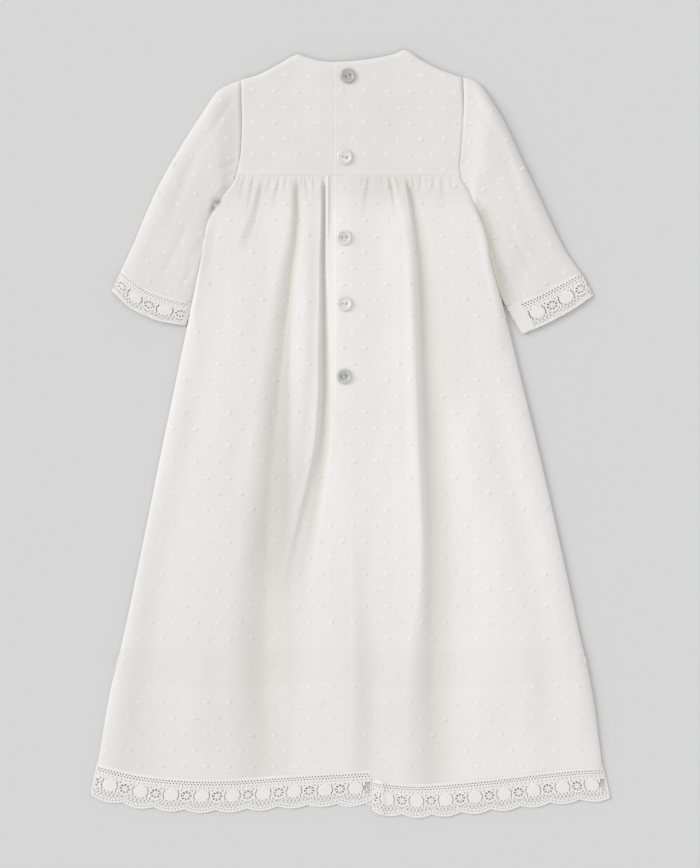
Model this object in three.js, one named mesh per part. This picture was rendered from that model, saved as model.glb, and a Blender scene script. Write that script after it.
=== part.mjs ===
import * as THREE from 'three';

// A christening gown laid flat on its front, with its buttoned back up. Millimetres.
// X runs to the right, Y runs towards the neck and Z runs up from the surface that the gown lies on.

// Driving sizes
const WALL = 1.0;
const SEAM = 0.3;
const ARMHOLE_SEAM = 0.5;
const WAIST = 219.7;
const SKIRT_LENGTH = 504;
const LAP_LEFT = -14.5;
const LAP_RIGHT = 5.5;
const PLACKET_END = 30;
const LACE_DEPTH = 26.5;
const SCALLOP = 2.8;
const LACE_REPEAT = 25.2;
const BUTTON_RADIUS = 6.5;
const BUTTON_HEIGHT = 2.2;

// How high the upper layer puffs off the front, away from its edges
const SKIRT_PUFF = 2.4;
const YOKE_PUFF = 1.5;
const SLEEVE_HEIGHT = 5.8;
const CUFF_HEIGHT = 4.4;
const ARMHOLE_HEIGHT = 2.6;
const UNDER = WALL + SEAM;

// The skirt puffs less at the waist seam than this far below it, and never quite touches the front
const WAIST_PUFF_SHARE = 0.6;
const FULL_PUFF_DOWN = 40;
const LEAST_LIFT = 0.05;

// Where the right half of the back comes down from the left half: beside the lap and below the placket
const LAP_CLEARANCE = 0.25;
const LAP_SLOPE = { start: 1.5, end: 13 };
const PLACKET_SLOPE = { start: 5, end: 22 };

const CLOTH_COLOUR = 0xf1efe8;
const LACE_COLOUR = 0xece7da;
const BUTTON_COLOUR = 0xc6c7c4;

const columns = (names, rows) => rows.map(
  (row) => Object.fromEntries(names.split(' ').map((name, i) => [name, row[i]])),
);

// The side edges of the skirt, from the waist seam round the armhole and down to the hem
const SKIRT_SIDES = columns('y left right', [
  [219.4, -99.5, 94.4],
  [211, -103.8, 98.6],
  [203, -110.3, 102.8],
  [197.5, -115.6, 105.6],
  [187, -121.4, 110.6],
  [171, -125.8, 116.3],
  [147.5, -129.6, 120.2],
  [117.7, -134.4, 127.4],
  [73, -143.2, 138.4],
  [-11, -160.6, 159],
  [-92, -176.8, 177.6],
  [-174, -194, 195.2],
  [-220, -204.6, 205],
  [-285, -215.2, 213.6],
]);

// The hem line of the cloth on each half of the back; the right half hangs lower at the centre seam
const HEM_LEFT = columns('x y', [
  [-216, -278.4], [-180, -286.6], [-145, -290.3], [-111, -291.1], [-77, -289.4], [-43, -286.9], [20, -283.6],
]);
const HEM_RIGHT = columns('x y', [
  [10, -290.6], [30, -293.6], [59, -295.4], [93, -292.8], [127, -289.4], [161, -285.2], [195, -281.8],
  [215, -281.4],
]);
const HEM_FRONT = columns('x y', [
  [-216, -278.6], [-130, -289], [0, -291], [130, -289], [215, -281.6],
]);

// The armholes of the yoke, above the waist seam
const ARMHOLES = columns('y left right', [
  [219.7, -99.4, 94.3],
  [228, -97, 93],
  [240, -94.6, 94],
  [262, -93.4, 95.6],
  [282, -93.6, 95.9],
  [304, -93.6, 94.6],
]);

// The shoulders and the back neck, from the left shoulder point to the right one
const BACK_TOP = columns('x y', [
  [-93.6, 302.2], [-78, 306.8], [-62, 315.2], [-46, 323.6], [-38, 321.6], [-26, 318.4], [-12, 317.4],
  [6, 318.6], [24, 321.2], [37, 324.2], [46.7, 327.4], [60.6, 318.6], [77.6, 310.2], [94.6, 304.2],
]);
const FRONT_TOP = columns('x y', [
  [-93.6, 302], [-78, 306.6], [-60, 315.8], [-47, 322.6], [-38, 300], [-20, 284], [0, 279],
  [20, 284], [38, 300], [48, 325.6], [60, 318.4], [77.6, 310], [94.6, 304],
]);

// Large folds and waist gathers of the back skirt. Height is above or below the puff, left and right
// are the half widths, and each path runs down the cloth as pairs of x and y.
const FOLDS = columns('name height left right path', [
  ['valley beside the placket', -2.3, 6, 9,
    [[-23, 222], [-25, 130], [-27, 30], [-38, -55], [-54, -150], [-58, -190]]],
  ['valley on the left', -1.9, 14, 14,
    [[-46, 222], [-50, 160], [-59, 73], [-69, -40], [-76, -174], [-77, -292]]],
  ['short crease on the left', -1.5, 6, 6, [[-75, 222], [-82, 183], [-92, 140]]],
  ['valley on the right', -2.2, 7, 22, [[46, 222], [54, 150], [58, 50], [67, -55], [74, -150], [73, -295]]],
  ['ridge left of the placket', 1.5, 10, 8, [[-36, 200], [-40, 100], [-44, 20], [-52, -70]]],
  ['ridge down the centre', 1.3, 18, 22, [[-6, 60], [-13, 0], [-18, -97], [-21, -290]]],
  ['ridge left of the right valley', 1.4, 18, 8, [[38, 200], [43, 110], [46, 20], [50, -60]]],
  ['ridge on the right', 1.2, 24, 24, [[78, 120], [96, -12], [113, -90], [118, -290]]],
  ['ridge on the left', 1.0, 26, 20, [[-100, 140], [-120, 0], [-140, -120], [-150, -290]]],
  ['dip right of the centre', -1.0, 14, 14, [[14, -90], [17, -174], [13, -292]]],
]);
const FOLD_FADE = 26;

// Small gathers that start at the waist seam: place, length down the cloth and sideways drift
const GATHERS = columns('x drop drift', [
  [-90, 22, -4], [-82.5, 34, -5], [-68, 24, -3], [-61, 34, -3], [-54.4, 20, -1], [-38.3, 26, 1],
  [-31.8, 22, 0], [10.2, 20, -1], [15, 30, -2], [26, 16, 0], [32.3, 36, 6], [38.3, 24, 5],
  [52, 32, 3], [59, 26, 1], [70.4, 24, -2], [77, 20, 2], [84, 24, 3],
]);
const GATHER_DEPTH = 1.5;
const GATHER_WIDTH = 3.6;
const EDGE_ROUNDING = 16;
const YOKE_ROUNDING = 14;
const SLEEVE_ROUNDING = 13;

// Distances below the waist of the rows of the skirt wall, and how many steps each row has across
const SKIRT_ROWS = columns('down steps', [
  [0.3, 38], [5, 38], [12, 38], [20, 38], [32, 38], [48, 26], [67, 26], [90, 26], [118, 24], [150, 22],
  [188, 22], [192.5, 20], [228, 20], [270, 20], [315, 20], [357, 20], [396.5, 20], [412, 20], [427.5, 20],
  [462, 20], [SKIRT_LENGTH, 20],
]);
const BAND_FIRST_ROW = 16;
const BAND_LAST_ROW = 18;
const HEM_BEND_START = 330;
const EDGE_CROWDING = 1.25;

// A smooth line through table rows, as a function of one column
function smooth(rows, input, output) {
  const points = rows.map((row) => [row[input], row[output]]).sort((a, b) => a[0] - b[0]);
  const last = points.length - 1;
  const slope = (i) => {
    const a = points[Math.max(i - 1, 0)];
    const b = points[Math.min(i + 1, last)];
    return (b[1] - a[1]) / (b[0] - a[0]);
  };
  return (value) => {
    const at = THREE.MathUtils.clamp(value, points[0][0], points[last][0]);
    let i = 0;
    while (i < last - 1 && at > points[i + 1][0]) i += 1;
    const span = points[i + 1][0] - points[i][0];
    const t = (at - points[i][0]) / span;
    const rise = points[i][1] * (1 + 2 * t) * (1 - t) ** 2 + points[i + 1][1] * t * t * (3 - 2 * t);
    return rise + span * (slope(i) * t * (1 - t) ** 2 + slope(i + 1) * t * t * (t - 1));
  };
}

const ease = (value, from, to) => THREE.MathUtils.smoothstep(value, from, to);
const mix = THREE.MathUtils.lerp;

// A quarter-round rise from 0 at an edge to 1 at the given distance inside it
function roundEdge(distance, reach) {
  const left = 1 - THREE.MathUtils.clamp(distance / reach, 0, 1);
  return Math.sqrt(1 - left * left);
}

const skirtLeft = smooth(SKIRT_SIDES, 'y', 'left');
const skirtRight = smooth(SKIRT_SIDES, 'y', 'right');
const hemLeft = smooth(HEM_LEFT, 'x', 'y');
const hemRight = smooth(HEM_RIGHT, 'x', 'y');
const hemFront = smooth(HEM_FRONT, 'x', 'y');
const armholeLeft = smooth(ARMHOLES, 'y', 'left');
const armholeRight = smooth(ARMHOLES, 'y', 'right');
const backTop = smooth(BACK_TOP, 'x', 'y');
const frontTop = smooth(FRONT_TOP, 'x', 'y');

// The centre-back seam slants a little to the right from the placket's end to the hem
const seamX = (y) => mix(-16.5, 18, THREE.MathUtils.clamp((PLACKET_END - y) / 320, 0, 1));

const foldPaths = FOLDS.map((fold) => {
  const path = fold.path.map(([x, y]) => ({ x, y }));
  return { ...fold, at: smooth(path, 'y', 'x'), top: path[0].y, foot: path[path.length - 1].y };
});

function foldHeight(x, y) {
  let height = 0;
  for (const fold of foldPaths) {
    const aside = x - fold.at(y);
    const reach = aside < 0 ? fold.left : fold.right;
    if (Math.abs(aside) >= reach) continue;
    const opensOnSeam = fold.top > WAIST ? 1 : ease(fold.top - y, 0, FOLD_FADE);
    const opensOnHem = fold.foot < -280 ? 1 : ease(y - fold.foot, 0, FOLD_FADE);
    height += fold.height * opensOnSeam * opensOnHem * (0.5 + 0.5 * Math.cos(Math.PI * aside / reach));
  }
  return height;
}

function gatherHeight(x, y) {
  let height = 0;
  for (const gather of GATHERS) {
    const down = (WAIST - y) / gather.drop;
    if (down >= 1) continue;
    const aside = Math.abs(x - gather.x - gather.drift * down);
    if (aside < GATHER_WIDTH) {
      height -= GATHER_DEPTH * (1 - down) * (0.5 + 0.5 * Math.cos(Math.PI * aside / GATHER_WIDTH));
    }
  }
  return height;
}

// Underside of the back skirt where nothing is lapped
function skirtUnder(x, y) {
  const edge = Math.min(x - skirtLeft(y), skirtRight(y) - x);
  const puff = SKIRT_PUFF * mix(WAIST_PUFF_SHARE, 1, ease(WAIST - y, 0, FULL_PUFF_DOWN));
  const lift = Math.max(puff + foldHeight(x, y) + gatherHeight(x, y), LEAST_LIFT);
  return UNDER + lift * roundEdge(edge, EDGE_ROUNDING);
}

// Underside of the back yoke where nothing is lapped
function yokeUnder(x, y) {
  const side = Math.min(x - armholeLeft(y), armholeRight(y) - x);
  const shoulder = backTop(x) - y;
  return UNDER + YOKE_PUFF * roundEdge(Math.min(side, shoulder), YOKE_ROUNDING);
}

// How far the right half of the back is lifted where it lies over the left half
function lapLift(x, y) {
  const pastLap = 1 - ease(x, LAP_RIGHT + LAP_SLOPE.start, LAP_RIGHT + LAP_SLOPE.end);
  const pastPlacket = ease(y, PLACKET_END - PLACKET_SLOPE.end, PLACKET_END - PLACKET_SLOPE.start);
  return (WALL + SEAM + LAP_CLEARANCE) * pastLap * pastPlacket;
}

// Closes a sheet of cloth: the same plan for both faces and a wall along every free edge
function sheet(points, faces, under, over) {
  const count = points.length;
  const corners = [];
  const used = new Set();
  const index = [];
  for (const [x, y] of points) corners.push(x, y, over(x, y));
  for (const [x, y] of points) corners.push(x, y, under(x, y));
  for (const [a, b, c] of faces) {
    index.push(a, b, c, count + c, count + b, count + a);
    for (const edge of [[a, b], [b, c], [c, a]]) used.add(edge.join());
  }
  for (const name of used) {
    const [a, b] = name.split(',').map(Number);
    if (!used.has(`${b},${a}`)) index.push(a, count + a, count + b, a, count + b, b);
  }
  return geometry(corners, index);
}

function geometry(corners, index) {
  const shape = new THREE.BufferGeometry();
  shape.setAttribute('position', new THREE.Float32BufferAttribute(corners, 3));
  shape.setIndex(index);
  shape.computeVertexNormals();
  return shape;
}

// Joins rows of plan points, top row first, into one list of points and triangles
function joinRows(rows) {
  const points = rows.flat();
  const faces = [];
  let start = 0;
  for (let r = 0; r < rows.length - 1; r += 1) {
    const upper = rows[r].length - 1;
    const lower = rows[r + 1].length - 1;
    const next = start + upper + 1;
    let i = 0;
    let j = 0;
    while (i < upper || j < lower) {
      const alongUpper = j === lower || (i < upper && (i + 0.5) / upper <= (j + 0.5) / lower);
      if (alongUpper) {
        faces.push([next + j, start + i + 1, start + i]);
        i += 1;
      } else {
        faces.push([next + j, next + j + 1, start + i]);
        j += 1;
      }
    }
    start = next;
  }
  return { points, faces };
}

// Height of the wall's outer face over its inner one, so that sloping cloth keeps its thickness
function wallOver(under) {
  const step = 0.8;
  return (x, y) => {
    const slopeX = (under(x + step, y) - under(x - step, y)) / (2 * step);
    const slopeY = (under(x, y + step) - under(x, y - step)) / (2 * step);
    return under(x, y) + WALL * Math.min(Math.hypot(1, slopeX, slopeY), 1.5);
  };
}

// Rows of plan points for one half of the back skirt. Steps crowd towards the rounded side edge.
function skirtRows(side) {
  const hem = side === 'left' ? hemLeft : hemRight;
  return SKIRT_ROWS.map(({ down, steps }) => {
    const level = WAIST - down;
    const bend = ease(down, HEM_BEND_START, SKIRT_LENGTH);
    const height = (x) => level + bend * (hem(x) - (WAIST - SKIRT_LENGTH));
    const centre = level > PLACKET_END ? lapEdge(side) : seamEdge(side, height(seamX(level)));
    const outer = side === 'left' ? skirtLeft(level) : skirtRight(level);
    const row = [];
    for (let i = 0; i <= steps; i += 1) {
      const x = mix(outer, centre, (i / steps) ** EDGE_CROWDING);
      row.push([x, height(x)]);
    }
    return side === 'left' ? row : row.reverse();
  });
}

const lapEdge = (side) => (side === 'left' ? LAP_RIGHT : LAP_LEFT);
const seamEdge = (side, y) => seamX(y) + (side === 'left' ? -SEAM / 2 : SEAM / 2);

function skirtSurface(side) {
  const under = side === 'left' ? skirtUnder : (x, y) => skirtUnder(x, y) + lapLift(x, y);
  return { under, over: wallOver(under) };
}

function skirtBack(side) {
  const { points, faces } = joinRows(skirtRows(side));
  const { under, over } = skirtSurface(side);
  return sheet(points, faces, under, over);
}

// The insertion lies on the skirt and is made from the skirt's own points, moved out
function insertion(side) {
  const rows = skirtRows(side).slice(BAND_FIRST_ROW, BAND_LAST_ROW + 1);
  const { points, faces } = joinRows(rows);
  const { over } = skirtSurface(side);
  const under = (x, y) => over(x, y) + SEAM;
  return sheet(points, faces, under, (x, y) => under(x, y) + WALL);
}

// The front lies flat under everything
function skirtFront() {
  const rows = SKIRT_ROWS.map(({ down }) => {
    const level = WAIST - down;
    const bend = ease(down, HEM_BEND_START, SKIRT_LENGTH);
    const steps = down < SKIRT_LENGTH ? 2 : 16;
    return Array.from({ length: steps + 1 }, (_, i) => {
      const x = mix(skirtLeft(level), skirtRight(level), i / steps);
      return [x, level + bend * (hemFront(x) - (WAIST - SKIRT_LENGTH))];
    });
  });
  const { points, faces } = joinRows(rows);
  return sheet(points, faces, () => 0, () => WALL);
}

// How far the free edge of the hem lace swings out past the side seams
const FLARE_LEFT = -5.5;
const FLARE_RIGHT = 6;
const LACE_MIDDLE = 0.55 * LACE_DEPTH;
const SCALLOP_STEPS = 6;

// Hem lace: a header along the hem and a scalloped free edge
function hemLace(hem, from, to, flare, under, over) {
  const repeats = Math.round((to - from) / LACE_REPEAT);
  const line = (steps, depth, scallop) => Array.from({ length: steps + 1 }, (_, i) => {
    const t = i / steps;
    const x = mix(from, to, t);
    const bulge = scallop * Math.abs(Math.sin(Math.PI * repeats * t));
    return [x + mix(flare[0], flare[1], t) * depth / LACE_DEPTH, hem(x) - SEAM - depth - bulge];
  });
  const rows = [
    line(2 * repeats, 0, 0),
    line(2 * repeats, LACE_MIDDLE, 0),
    line(SCALLOP_STEPS * repeats, LACE_DEPTH, SCALLOP),
  ];
  const { points, faces } = joinRows(rows);
  return sheet(points, faces, under, over);
}

function hemLaceBack(side) {
  const hem = side === 'left' ? hemLeft : hemRight;
  const { under } = skirtSurface(side);
  const lace = (x, y) => {
    const below = THREE.MathUtils.clamp((hem(x) - y) / LACE_DEPTH, 0, 1);
    return mix(under(x, hem(x)), UNDER + SEAM, below);
  };
  const inner = seamEdge(side, hem(seamX(WAIST - SKIRT_LENGTH)));
  const from = side === 'left' ? skirtLeft(WAIST - SKIRT_LENGTH) : inner + SEAM;
  const to = side === 'left' ? inner - SEAM : skirtRight(WAIST - SKIRT_LENGTH);
  const flare = side === 'left' ? [FLARE_LEFT, 0] : [0, FLARE_RIGHT];
  return hemLace(hem, from, to, flare, lace, (x, y) => lace(x, y) + WALL);
}

function hemLaceFront() {
  const level = WAIST - SKIRT_LENGTH;
  const flare = [FLARE_LEFT, FLARE_RIGHT];
  return hemLace(hemFront, skirtLeft(level), skirtRight(level), flare, () => 0, () => WALL);
}

// A half of the back yoke, from the waist seam up to the shoulder and neck
function yokeBack(side) {
  const lap = () => lapEdge(side);
  const rows = side === 'left' ? yokeRows(armholeLeft, lap, backTop) : yokeRows(lap, armholeRight, backTop);
  const under = side === 'left' ? yokeUnder : (x, y) => yokeUnder(x, y) + lapLift(x, y);
  const { points, faces } = joinRows(rows);
  return sheet(points, faces, under, wallOver(under));
}

const YOKE_STEPS_ACROSS = 14;
const YOKE_STEPS_UP = 10;

function yokeRows(leftEdge, rightEdge, top) {
  const rows = [];
  for (let r = 0; r <= YOKE_STEPS_UP; r += 1) {
    const up = 1 - r / YOKE_STEPS_UP;
    const row = [];
    for (let i = 0; i <= YOKE_STEPS_ACROSS; i += 1) {
      const across = i / YOKE_STEPS_ACROSS;
      let x = mix(leftEdge(WAIST), rightEdge(WAIST), across);
      for (let pass = 0; pass < 3; pass += 1) {
        const level = mix(WAIST, top(x), up);
        x = mix(leftEdge(level), rightEdge(level), across);
      }
      row.push([x, mix(WAIST, top(x), up)]);
    }
    rows.push(row);
  }
  return rows;
}

function yokeFront() {
  const { points, faces } = joinRows(yokeRows(armholeLeft, armholeRight, frontTop));
  return sheet(points, faces, () => 0, () => WALL);
}

// Sleeve outlines in plan. Each edge runs away from the armhole, and the cuff runs from the outer
// edge to the inner one, where the lace starts.
const SLEEVES = {
  left: {
    outer: [[-94.1, 302.4], [-104, 298.2], [-114.4, 291.6], [-127, 273.3], [-144.5, 246], [-160, 219],
      [-173, 192], [-184, 165], [-195, 141]],
    inner: [[-116.1, 197.5], [-122.8, 187], [-127, 171], [-130.6, 147.5], [-134.6, 124], [-138.6, 113]],
    cuff: [[-195, 141], [-176, 126.4], [-158, 118.6], [-138.6, 113]],
    laceOuter: [[-195, 141], [-203, 124]],
    laceInner: [[-138.6, 113], [-142.2, 95]],
    laceEdge: [[-203, 124], [-186, 108.6], [-164, 99], [-142.2, 95]],
  },
  right: {
    outer: [[95.1, 304.6], [103, 302.6], [111.5, 296.4], [121, 282.4], [131, 265.4], [143, 239.4],
      [156, 212], [168.4, 185], [182, 157.6], [195, 139]],
    inner: [[106.1, 197.5], [112.2, 187], [117.8, 171], [121.6, 147.5], [127.4, 124], [132, 110.6]],
    cuff: [[195, 139], [180, 131.4], [163, 122.6], [146, 115], [132, 110.6]],
    laceOuter: [[195, 139], [205, 119.6]],
    laceInner: [[132, 110.6], [144.6, 88]],
    laceEdge: [[205, 119.6], [189, 108.6], [169, 97.4], [144.6, 88]],
  },
};

// A curve through plan points, by share of its length
function curve(points) {
  const spline = new THREE.SplineCurve(points.map(([x, y]) => new THREE.Vector2(x, y)));
  return (t) => {
    const at = spline.getPointAt(THREE.MathUtils.clamp(t, 0, 1));
    return [at.x, at.y];
  };
}

// A plan patch between four curves: u runs from start to end and v from outer to inner
function patch(start, end, outer, inner) {
  return (u, v) => [0, 1].map((axis) => {
    const ruled = mix(start(v)[axis], end(v)[axis], u) + mix(outer(u)[axis], inner(u)[axis], v);
    const corners = mix(
      mix(start(0)[axis], start(1)[axis], v),
      mix(end(0)[axis], end(1)[axis], v),
      u,
    );
    return ruled - corners;
  });
}

// Places round a flattened tube: share of the way across, and whether that point is on the back
const FOLD_MIDDLE = 1.15;
const FOLD_TOE = 0.3;
const NEAR_FOLD = 0.02;
const ROUND_BACK = [0, 0.012, 0.045, 0.1, 0.18, 0.28, 0.39, 0.5, 0.61, 0.72, 0.82, 0.9, 0.955, 0.988, 1];
const ROUND_FRONT = [0.988, 0.96, 0.82, 0.66, 0.5, 0.34, 0.18, 0.04, 0.012];

// A flattened tube: the front lies on the surface, and the back is arched over it
function flatTube(plan, rowShares, heightAt, backShares) {
  const outer = [];
  const inner = [];
  const around = [
    ...backShares.map((v) => ({ v, back: true })),
    ...ROUND_FRONT.map((v) => ({ v, back: false })),
  ];
  for (const u of rowShares) {
    const [x0, y0] = plan(u, 0);
    const [x1, y1] = plan(u, 1);
    const width = Math.hypot(x1 - x0, y1 - y0);
    const arch = (v) => {
      const edge = Math.min(v, 1 - v) * width;
      return FOLD_MIDDLE + (heightAt(u) - FOLD_MIDDLE) * roundEdge(edge, SLEEVE_ROUNDING);
    };
    for (const { v, back } of around) {
      const nearFold = Math.min(v, 1 - v) < NEAR_FOLD;
      const atFold = v === 0 || v === 1;
      const inset = mix(WALL / width, 1 - WALL / width, v);
      const low = nearFold ? FOLD_TOE : 0;
      outer.push([...plan(u, v), atFold ? FOLD_MIDDLE : back ? arch(v) : low]);
      const slit = Math.max(arch(inset) - WALL, WALL + SEAM);
      const rise = atFold ? FOLD_MIDDLE : back ? slit : WALL;
      inner.push([...plan(u, inset), rise]);
    }
  }
  return ringWall(outer, inner, around.length, rowShares.length);
}

// Closes the wall between an outer and an inner set of rings
function ringWall(outer, inner, around, rows) {
  const corners = [...outer, ...inner].flat();
  const index = [];
  const offset = outer.length;
  const quad = (a, b, c, d) => index.push(a, b, c, a, c, d);
  for (let r = 0; r < rows; r += 1) {
    for (let i = 0; i < around; i += 1) {
      const a = r * around + i;
      const b = r * around + (i + 1) % around;
      if (r < rows - 1) {
        quad(a, b, b + around, a + around);
        quad(offset + a, offset + a + around, offset + b + around, offset + b);
      }
      if (r === 0) quad(a, offset + a, offset + b, b);
      if (r === rows - 1) quad(a, b, offset + b, offset + a);
    }
  }
  if (signedVolume(corners, index) < 0) index.reverse();
  return geometry(corners, index);
}

function signedVolume(corners, index) {
  const at = (i) => new THREE.Vector3().fromArray(corners, 3 * i);
  let volume = 0;
  for (let i = 0; i < index.length; i += 3) {
    volume += at(index[i]).dot(at(index[i + 1]).cross(at(index[i + 2])));
  }
  return volume / 6;
}

// The sleeve starts just outside the armhole, from the shoulder down to the underarm
function armholeLine(side) {
  const yokeEdge = side === 'left' ? armholeLeft : armholeRight;
  const skirtEdge = side === 'left' ? skirtLeft : skirtRight;
  const outward = side === 'left' ? -ARMHOLE_SEAM : ARMHOLE_SEAM;
  const [top, underarm] = [SLEEVES[side].outer[0][1], SLEEVES[side].inner[0][1]];
  return (v) => {
    const y = mix(top, underarm, v);
    return [(y > WAIST ? yokeEdge(y) : skirtEdge(y)) + outward, y];
  };
}

// Shares of the sleeve's length: its rows, where its cap is at full height and where it starts to thin
const SLEEVE_ROWS = [0, 0.05, 0.11, 0.2, 0.32, 0.46, 0.6, 0.74, 0.87, 1];
const CAP_END = 0.2;
const TAPER_START = 0.5;

function sleeve(side) {
  const lines = SLEEVES[side];
  const plan = patch(armholeLine(side), curve(lines.cuff), curve(lines.outer), curve(lines.inner));
  const height = (u) => {
    const cap = mix(ARMHOLE_HEIGHT, SLEEVE_HEIGHT, ease(u, 0, CAP_END));
    return cap - (SLEEVE_HEIGHT - CUFF_HEIGHT) * ease(u, TAPER_START, 1);
  };
  return flatTube(plan, SLEEVE_ROWS, height, ROUND_BACK);
}

const CUFF_SCALLOPS = 2.5;

function cuffLace(side) {
  const lines = SLEEVES[side];
  const flat = patch(
    curve(lines.cuff),
    curve(lines.laceEdge),
    curve(lines.laceOuter),
    curve(lines.laceInner),
  );
  const steps = 16;
  const back = Array.from({ length: steps + 1 }, (_, i) => i / steps);
  back.splice(1, 0, 0.015);
  back.splice(back.length - 1, 0, 0.985);
  // The scallops bulge away from the cuff at the free edge
  const plan = (u, v) => {
    const [x, y] = flat(u, v);
    const [x0, y0] = flat(0, v);
    const reach = Math.hypot(x - x0, y - y0) || 1;
    const bulge = SCALLOP * ease(u, 0.6, 1) * Math.abs(Math.sin(Math.PI * CUFF_SCALLOPS * v)) / reach;
    return [x + (x - x0) * bulge, y + (y - y0) * bulge];
  };
  const gap = (SEAM + 0.1) / LACE_DEPTH;
  return flatTube(plan, [gap, 0.6, 1], () => CUFF_HEIGHT, back);
}

const BUTTONS = columns('name x y', [
  ['button_1', -2.7, 305.2],
  ['button_2', -5.3, 236.3],
  ['button_3', -5.7, 167.9],
  ['button_4', -5.5, 111.8],
  ['button_5', -6, 50.1],
]);

// A dished button with a raised rim, turned about its own axis
function button() {
  const r = BUTTON_RADIUS;
  const h = BUTTON_HEIGHT;
  const profile = [
    [0, 0], [0.78 * r, 0], [0.96 * r, 0.2 * h], [r, 0.5 * h], [0.95 * r, 0.85 * h], [0.84 * r, h],
    [0.72 * r, 0.84 * h], [0, 0.76 * h],
  ];
  const lathe = new THREE.LatheGeometry(profile.map(([x, y]) => new THREE.Vector2(x, y)), 20);
  return lathe.rotateX(Math.PI / 2);
}

// The highest point of the lapped cloth under a button
function buttonSeat(x, y) {
  const right = y > WAIST
    ? (px, py) => yokeUnder(px, py) + lapLift(px, py)
    : (px, py) => skirtUnder(px, py) + lapLift(px, py);
  const over = wallOver(right);
  let seat = 0;
  for (let i = 0; i < 16; i += 1) {
    const angle = Math.PI * i / 8;
    for (const radius of [0, 0.5 * BUTTON_RADIUS, BUTTON_RADIUS]) {
      seat = Math.max(seat, over(x + radius * Math.cos(angle), y + radius * Math.sin(angle)));
    }
  }
  return seat + SEAM;
}

const cloth = new THREE.MeshStandardMaterial({ color: CLOTH_COLOUR, roughness: 0.9, metalness: 0 });
const lace = new THREE.MeshStandardMaterial({ color: LACE_COLOUR, roughness: 0.92, metalness: 0 });
const pearl = new THREE.MeshStandardMaterial({ color: BUTTON_COLOUR, roughness: 0.25, metalness: 0 });

const gown = new THREE.Group();
gown.name = 'christening_gown';

function add(name, shape, material) {
  const mesh = new THREE.Mesh(shape, material);
  mesh.name = name;
  gown.add(mesh);
  return mesh;
}

add('yoke_front', yokeFront(), cloth);
add('skirt_front', skirtFront(), cloth);
add('hem_lace_front', hemLaceFront(), lace);
for (const side of ['left', 'right']) {
  add(`yoke_back_${side}`, yokeBack(side), cloth);
  add(`skirt_back_${side}`, skirtBack(side), cloth);
  add(`insertion_${side}`, insertion(side), lace);
  add(`hem_lace_back_${side}`, hemLaceBack(side), lace);
  add(`sleeve_${side}`, sleeve(side), cloth);
  add(`cuff_lace_${side}`, cuffLace(side), lace);
}
for (const { name, x, y } of BUTTONS) {
  add(name, button(), pearl).position.set(x, y, buttonSeat(x, y));
}

export default gown;
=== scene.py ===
import math

import bpy
import numpy as np
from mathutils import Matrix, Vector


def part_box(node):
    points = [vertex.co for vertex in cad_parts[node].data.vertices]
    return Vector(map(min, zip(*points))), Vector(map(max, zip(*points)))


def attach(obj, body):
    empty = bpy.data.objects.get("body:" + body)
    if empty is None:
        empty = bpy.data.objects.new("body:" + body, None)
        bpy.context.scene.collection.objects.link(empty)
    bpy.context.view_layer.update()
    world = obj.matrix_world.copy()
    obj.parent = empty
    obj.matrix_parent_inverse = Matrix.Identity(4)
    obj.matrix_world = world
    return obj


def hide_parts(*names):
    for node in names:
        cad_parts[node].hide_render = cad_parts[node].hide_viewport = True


# A christening gown laid flat on its front, with its buttoned back up.
# Sizes here are millimetres. X runs right, Y runs towards the neck and Z runs up.

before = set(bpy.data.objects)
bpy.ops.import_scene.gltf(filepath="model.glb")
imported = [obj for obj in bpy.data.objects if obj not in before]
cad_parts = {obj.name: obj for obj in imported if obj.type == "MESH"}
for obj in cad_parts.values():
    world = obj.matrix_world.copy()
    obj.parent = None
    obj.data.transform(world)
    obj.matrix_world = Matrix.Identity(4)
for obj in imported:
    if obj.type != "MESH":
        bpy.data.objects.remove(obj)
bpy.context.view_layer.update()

MM = 0.001

# Driving sizes, as in the solids
WAIST = 219.7
SKIRT_LENGTH = 504
HEM_LEVEL = WAIST - SKIRT_LENGTH
HEM_BEND = 330
LAP_LEFT = -14.5
LAP_RIGHT = 5.5
PLACKET_END = 30
LACE_DEPTH = 26.5
SCALLOP = 2.8
LACE_REPEAT = 25.2
BAND_TOP = -176.8
BAND_BOTTOM = -207.8

# Heights of the upper layer
CLOTH = 0.4
SLEEVE_CLOTH = 0.24
FLOOR_GAP = 0.35
EDGE_HEIGHT = 1.7
SKIRT_PUFF = 5.2
YOKE_PUFF = 2.6
CAP_HEIGHT = 5.2
SLEEVE_PUFF = 7.6
CUFF_PUFF = 4.6
LAP_LIFT = 1.0
SEAM_TUCK = 2.5
SEAM_DIP = 0.75
LAP_ROLL = 0.3
LAP_ROLL_REACH = 1.6
LEAST_PUFF = 0.9
WAIST_ROLL = 0.6
BESIDE_SLEEVE = 1.4
LONG_WAVES = 0.5
SOFT_LUMPS = 0.35
SMALL_LUMPS = 0.14

# How grey and warm the white is painted into the cloth's colour: all over, less down the middle, more far
# left, less high on the right, more along the hem and at the waist. In the folds, the gathers and the
# underarm hollow this is painted shade, and on the crests it is painted light.
PLAIN_TONE = 0.32
MIDDLE_TONE = 0.12
LEFT_TONE = 0.11
RIGHT_TONE = 0.16
HEM_TONES = {"all": 0.08, "middle": 0.10, "right": 0.07}
WAIST_TONES = {"all": 0.22, "right of the placket": 0.25}
MIDDLE_REACH = 64
# Painted shade in the gathers and valleys, painted light on the crests, how far the painted shade spreads
# past a fold, and painted shade in the underarm hollow
GATHER_PAINTED_SHADE = 0.12
VALLEY_PAINTED_SHADE = 0.15
CREST_PAINTED_LIGHT = 0.04
PAINTED_SHADE_SPREAD = 1.3
PIT_PAINTED_SHADE = 1.1

# The plumeti tufts stand in staggered rows
TUFT_ROW = 13.66
TUFT_STEP = 19.1
TUFT_WIDTH = 5.0
TUFT_DEPTH = 3.6
TUFT_HEIGHT = 0.34


def table(names, rows):
    """Columns of a table by name."""
    return dict(zip(names.split(), np.array(rows, float).T))


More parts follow.
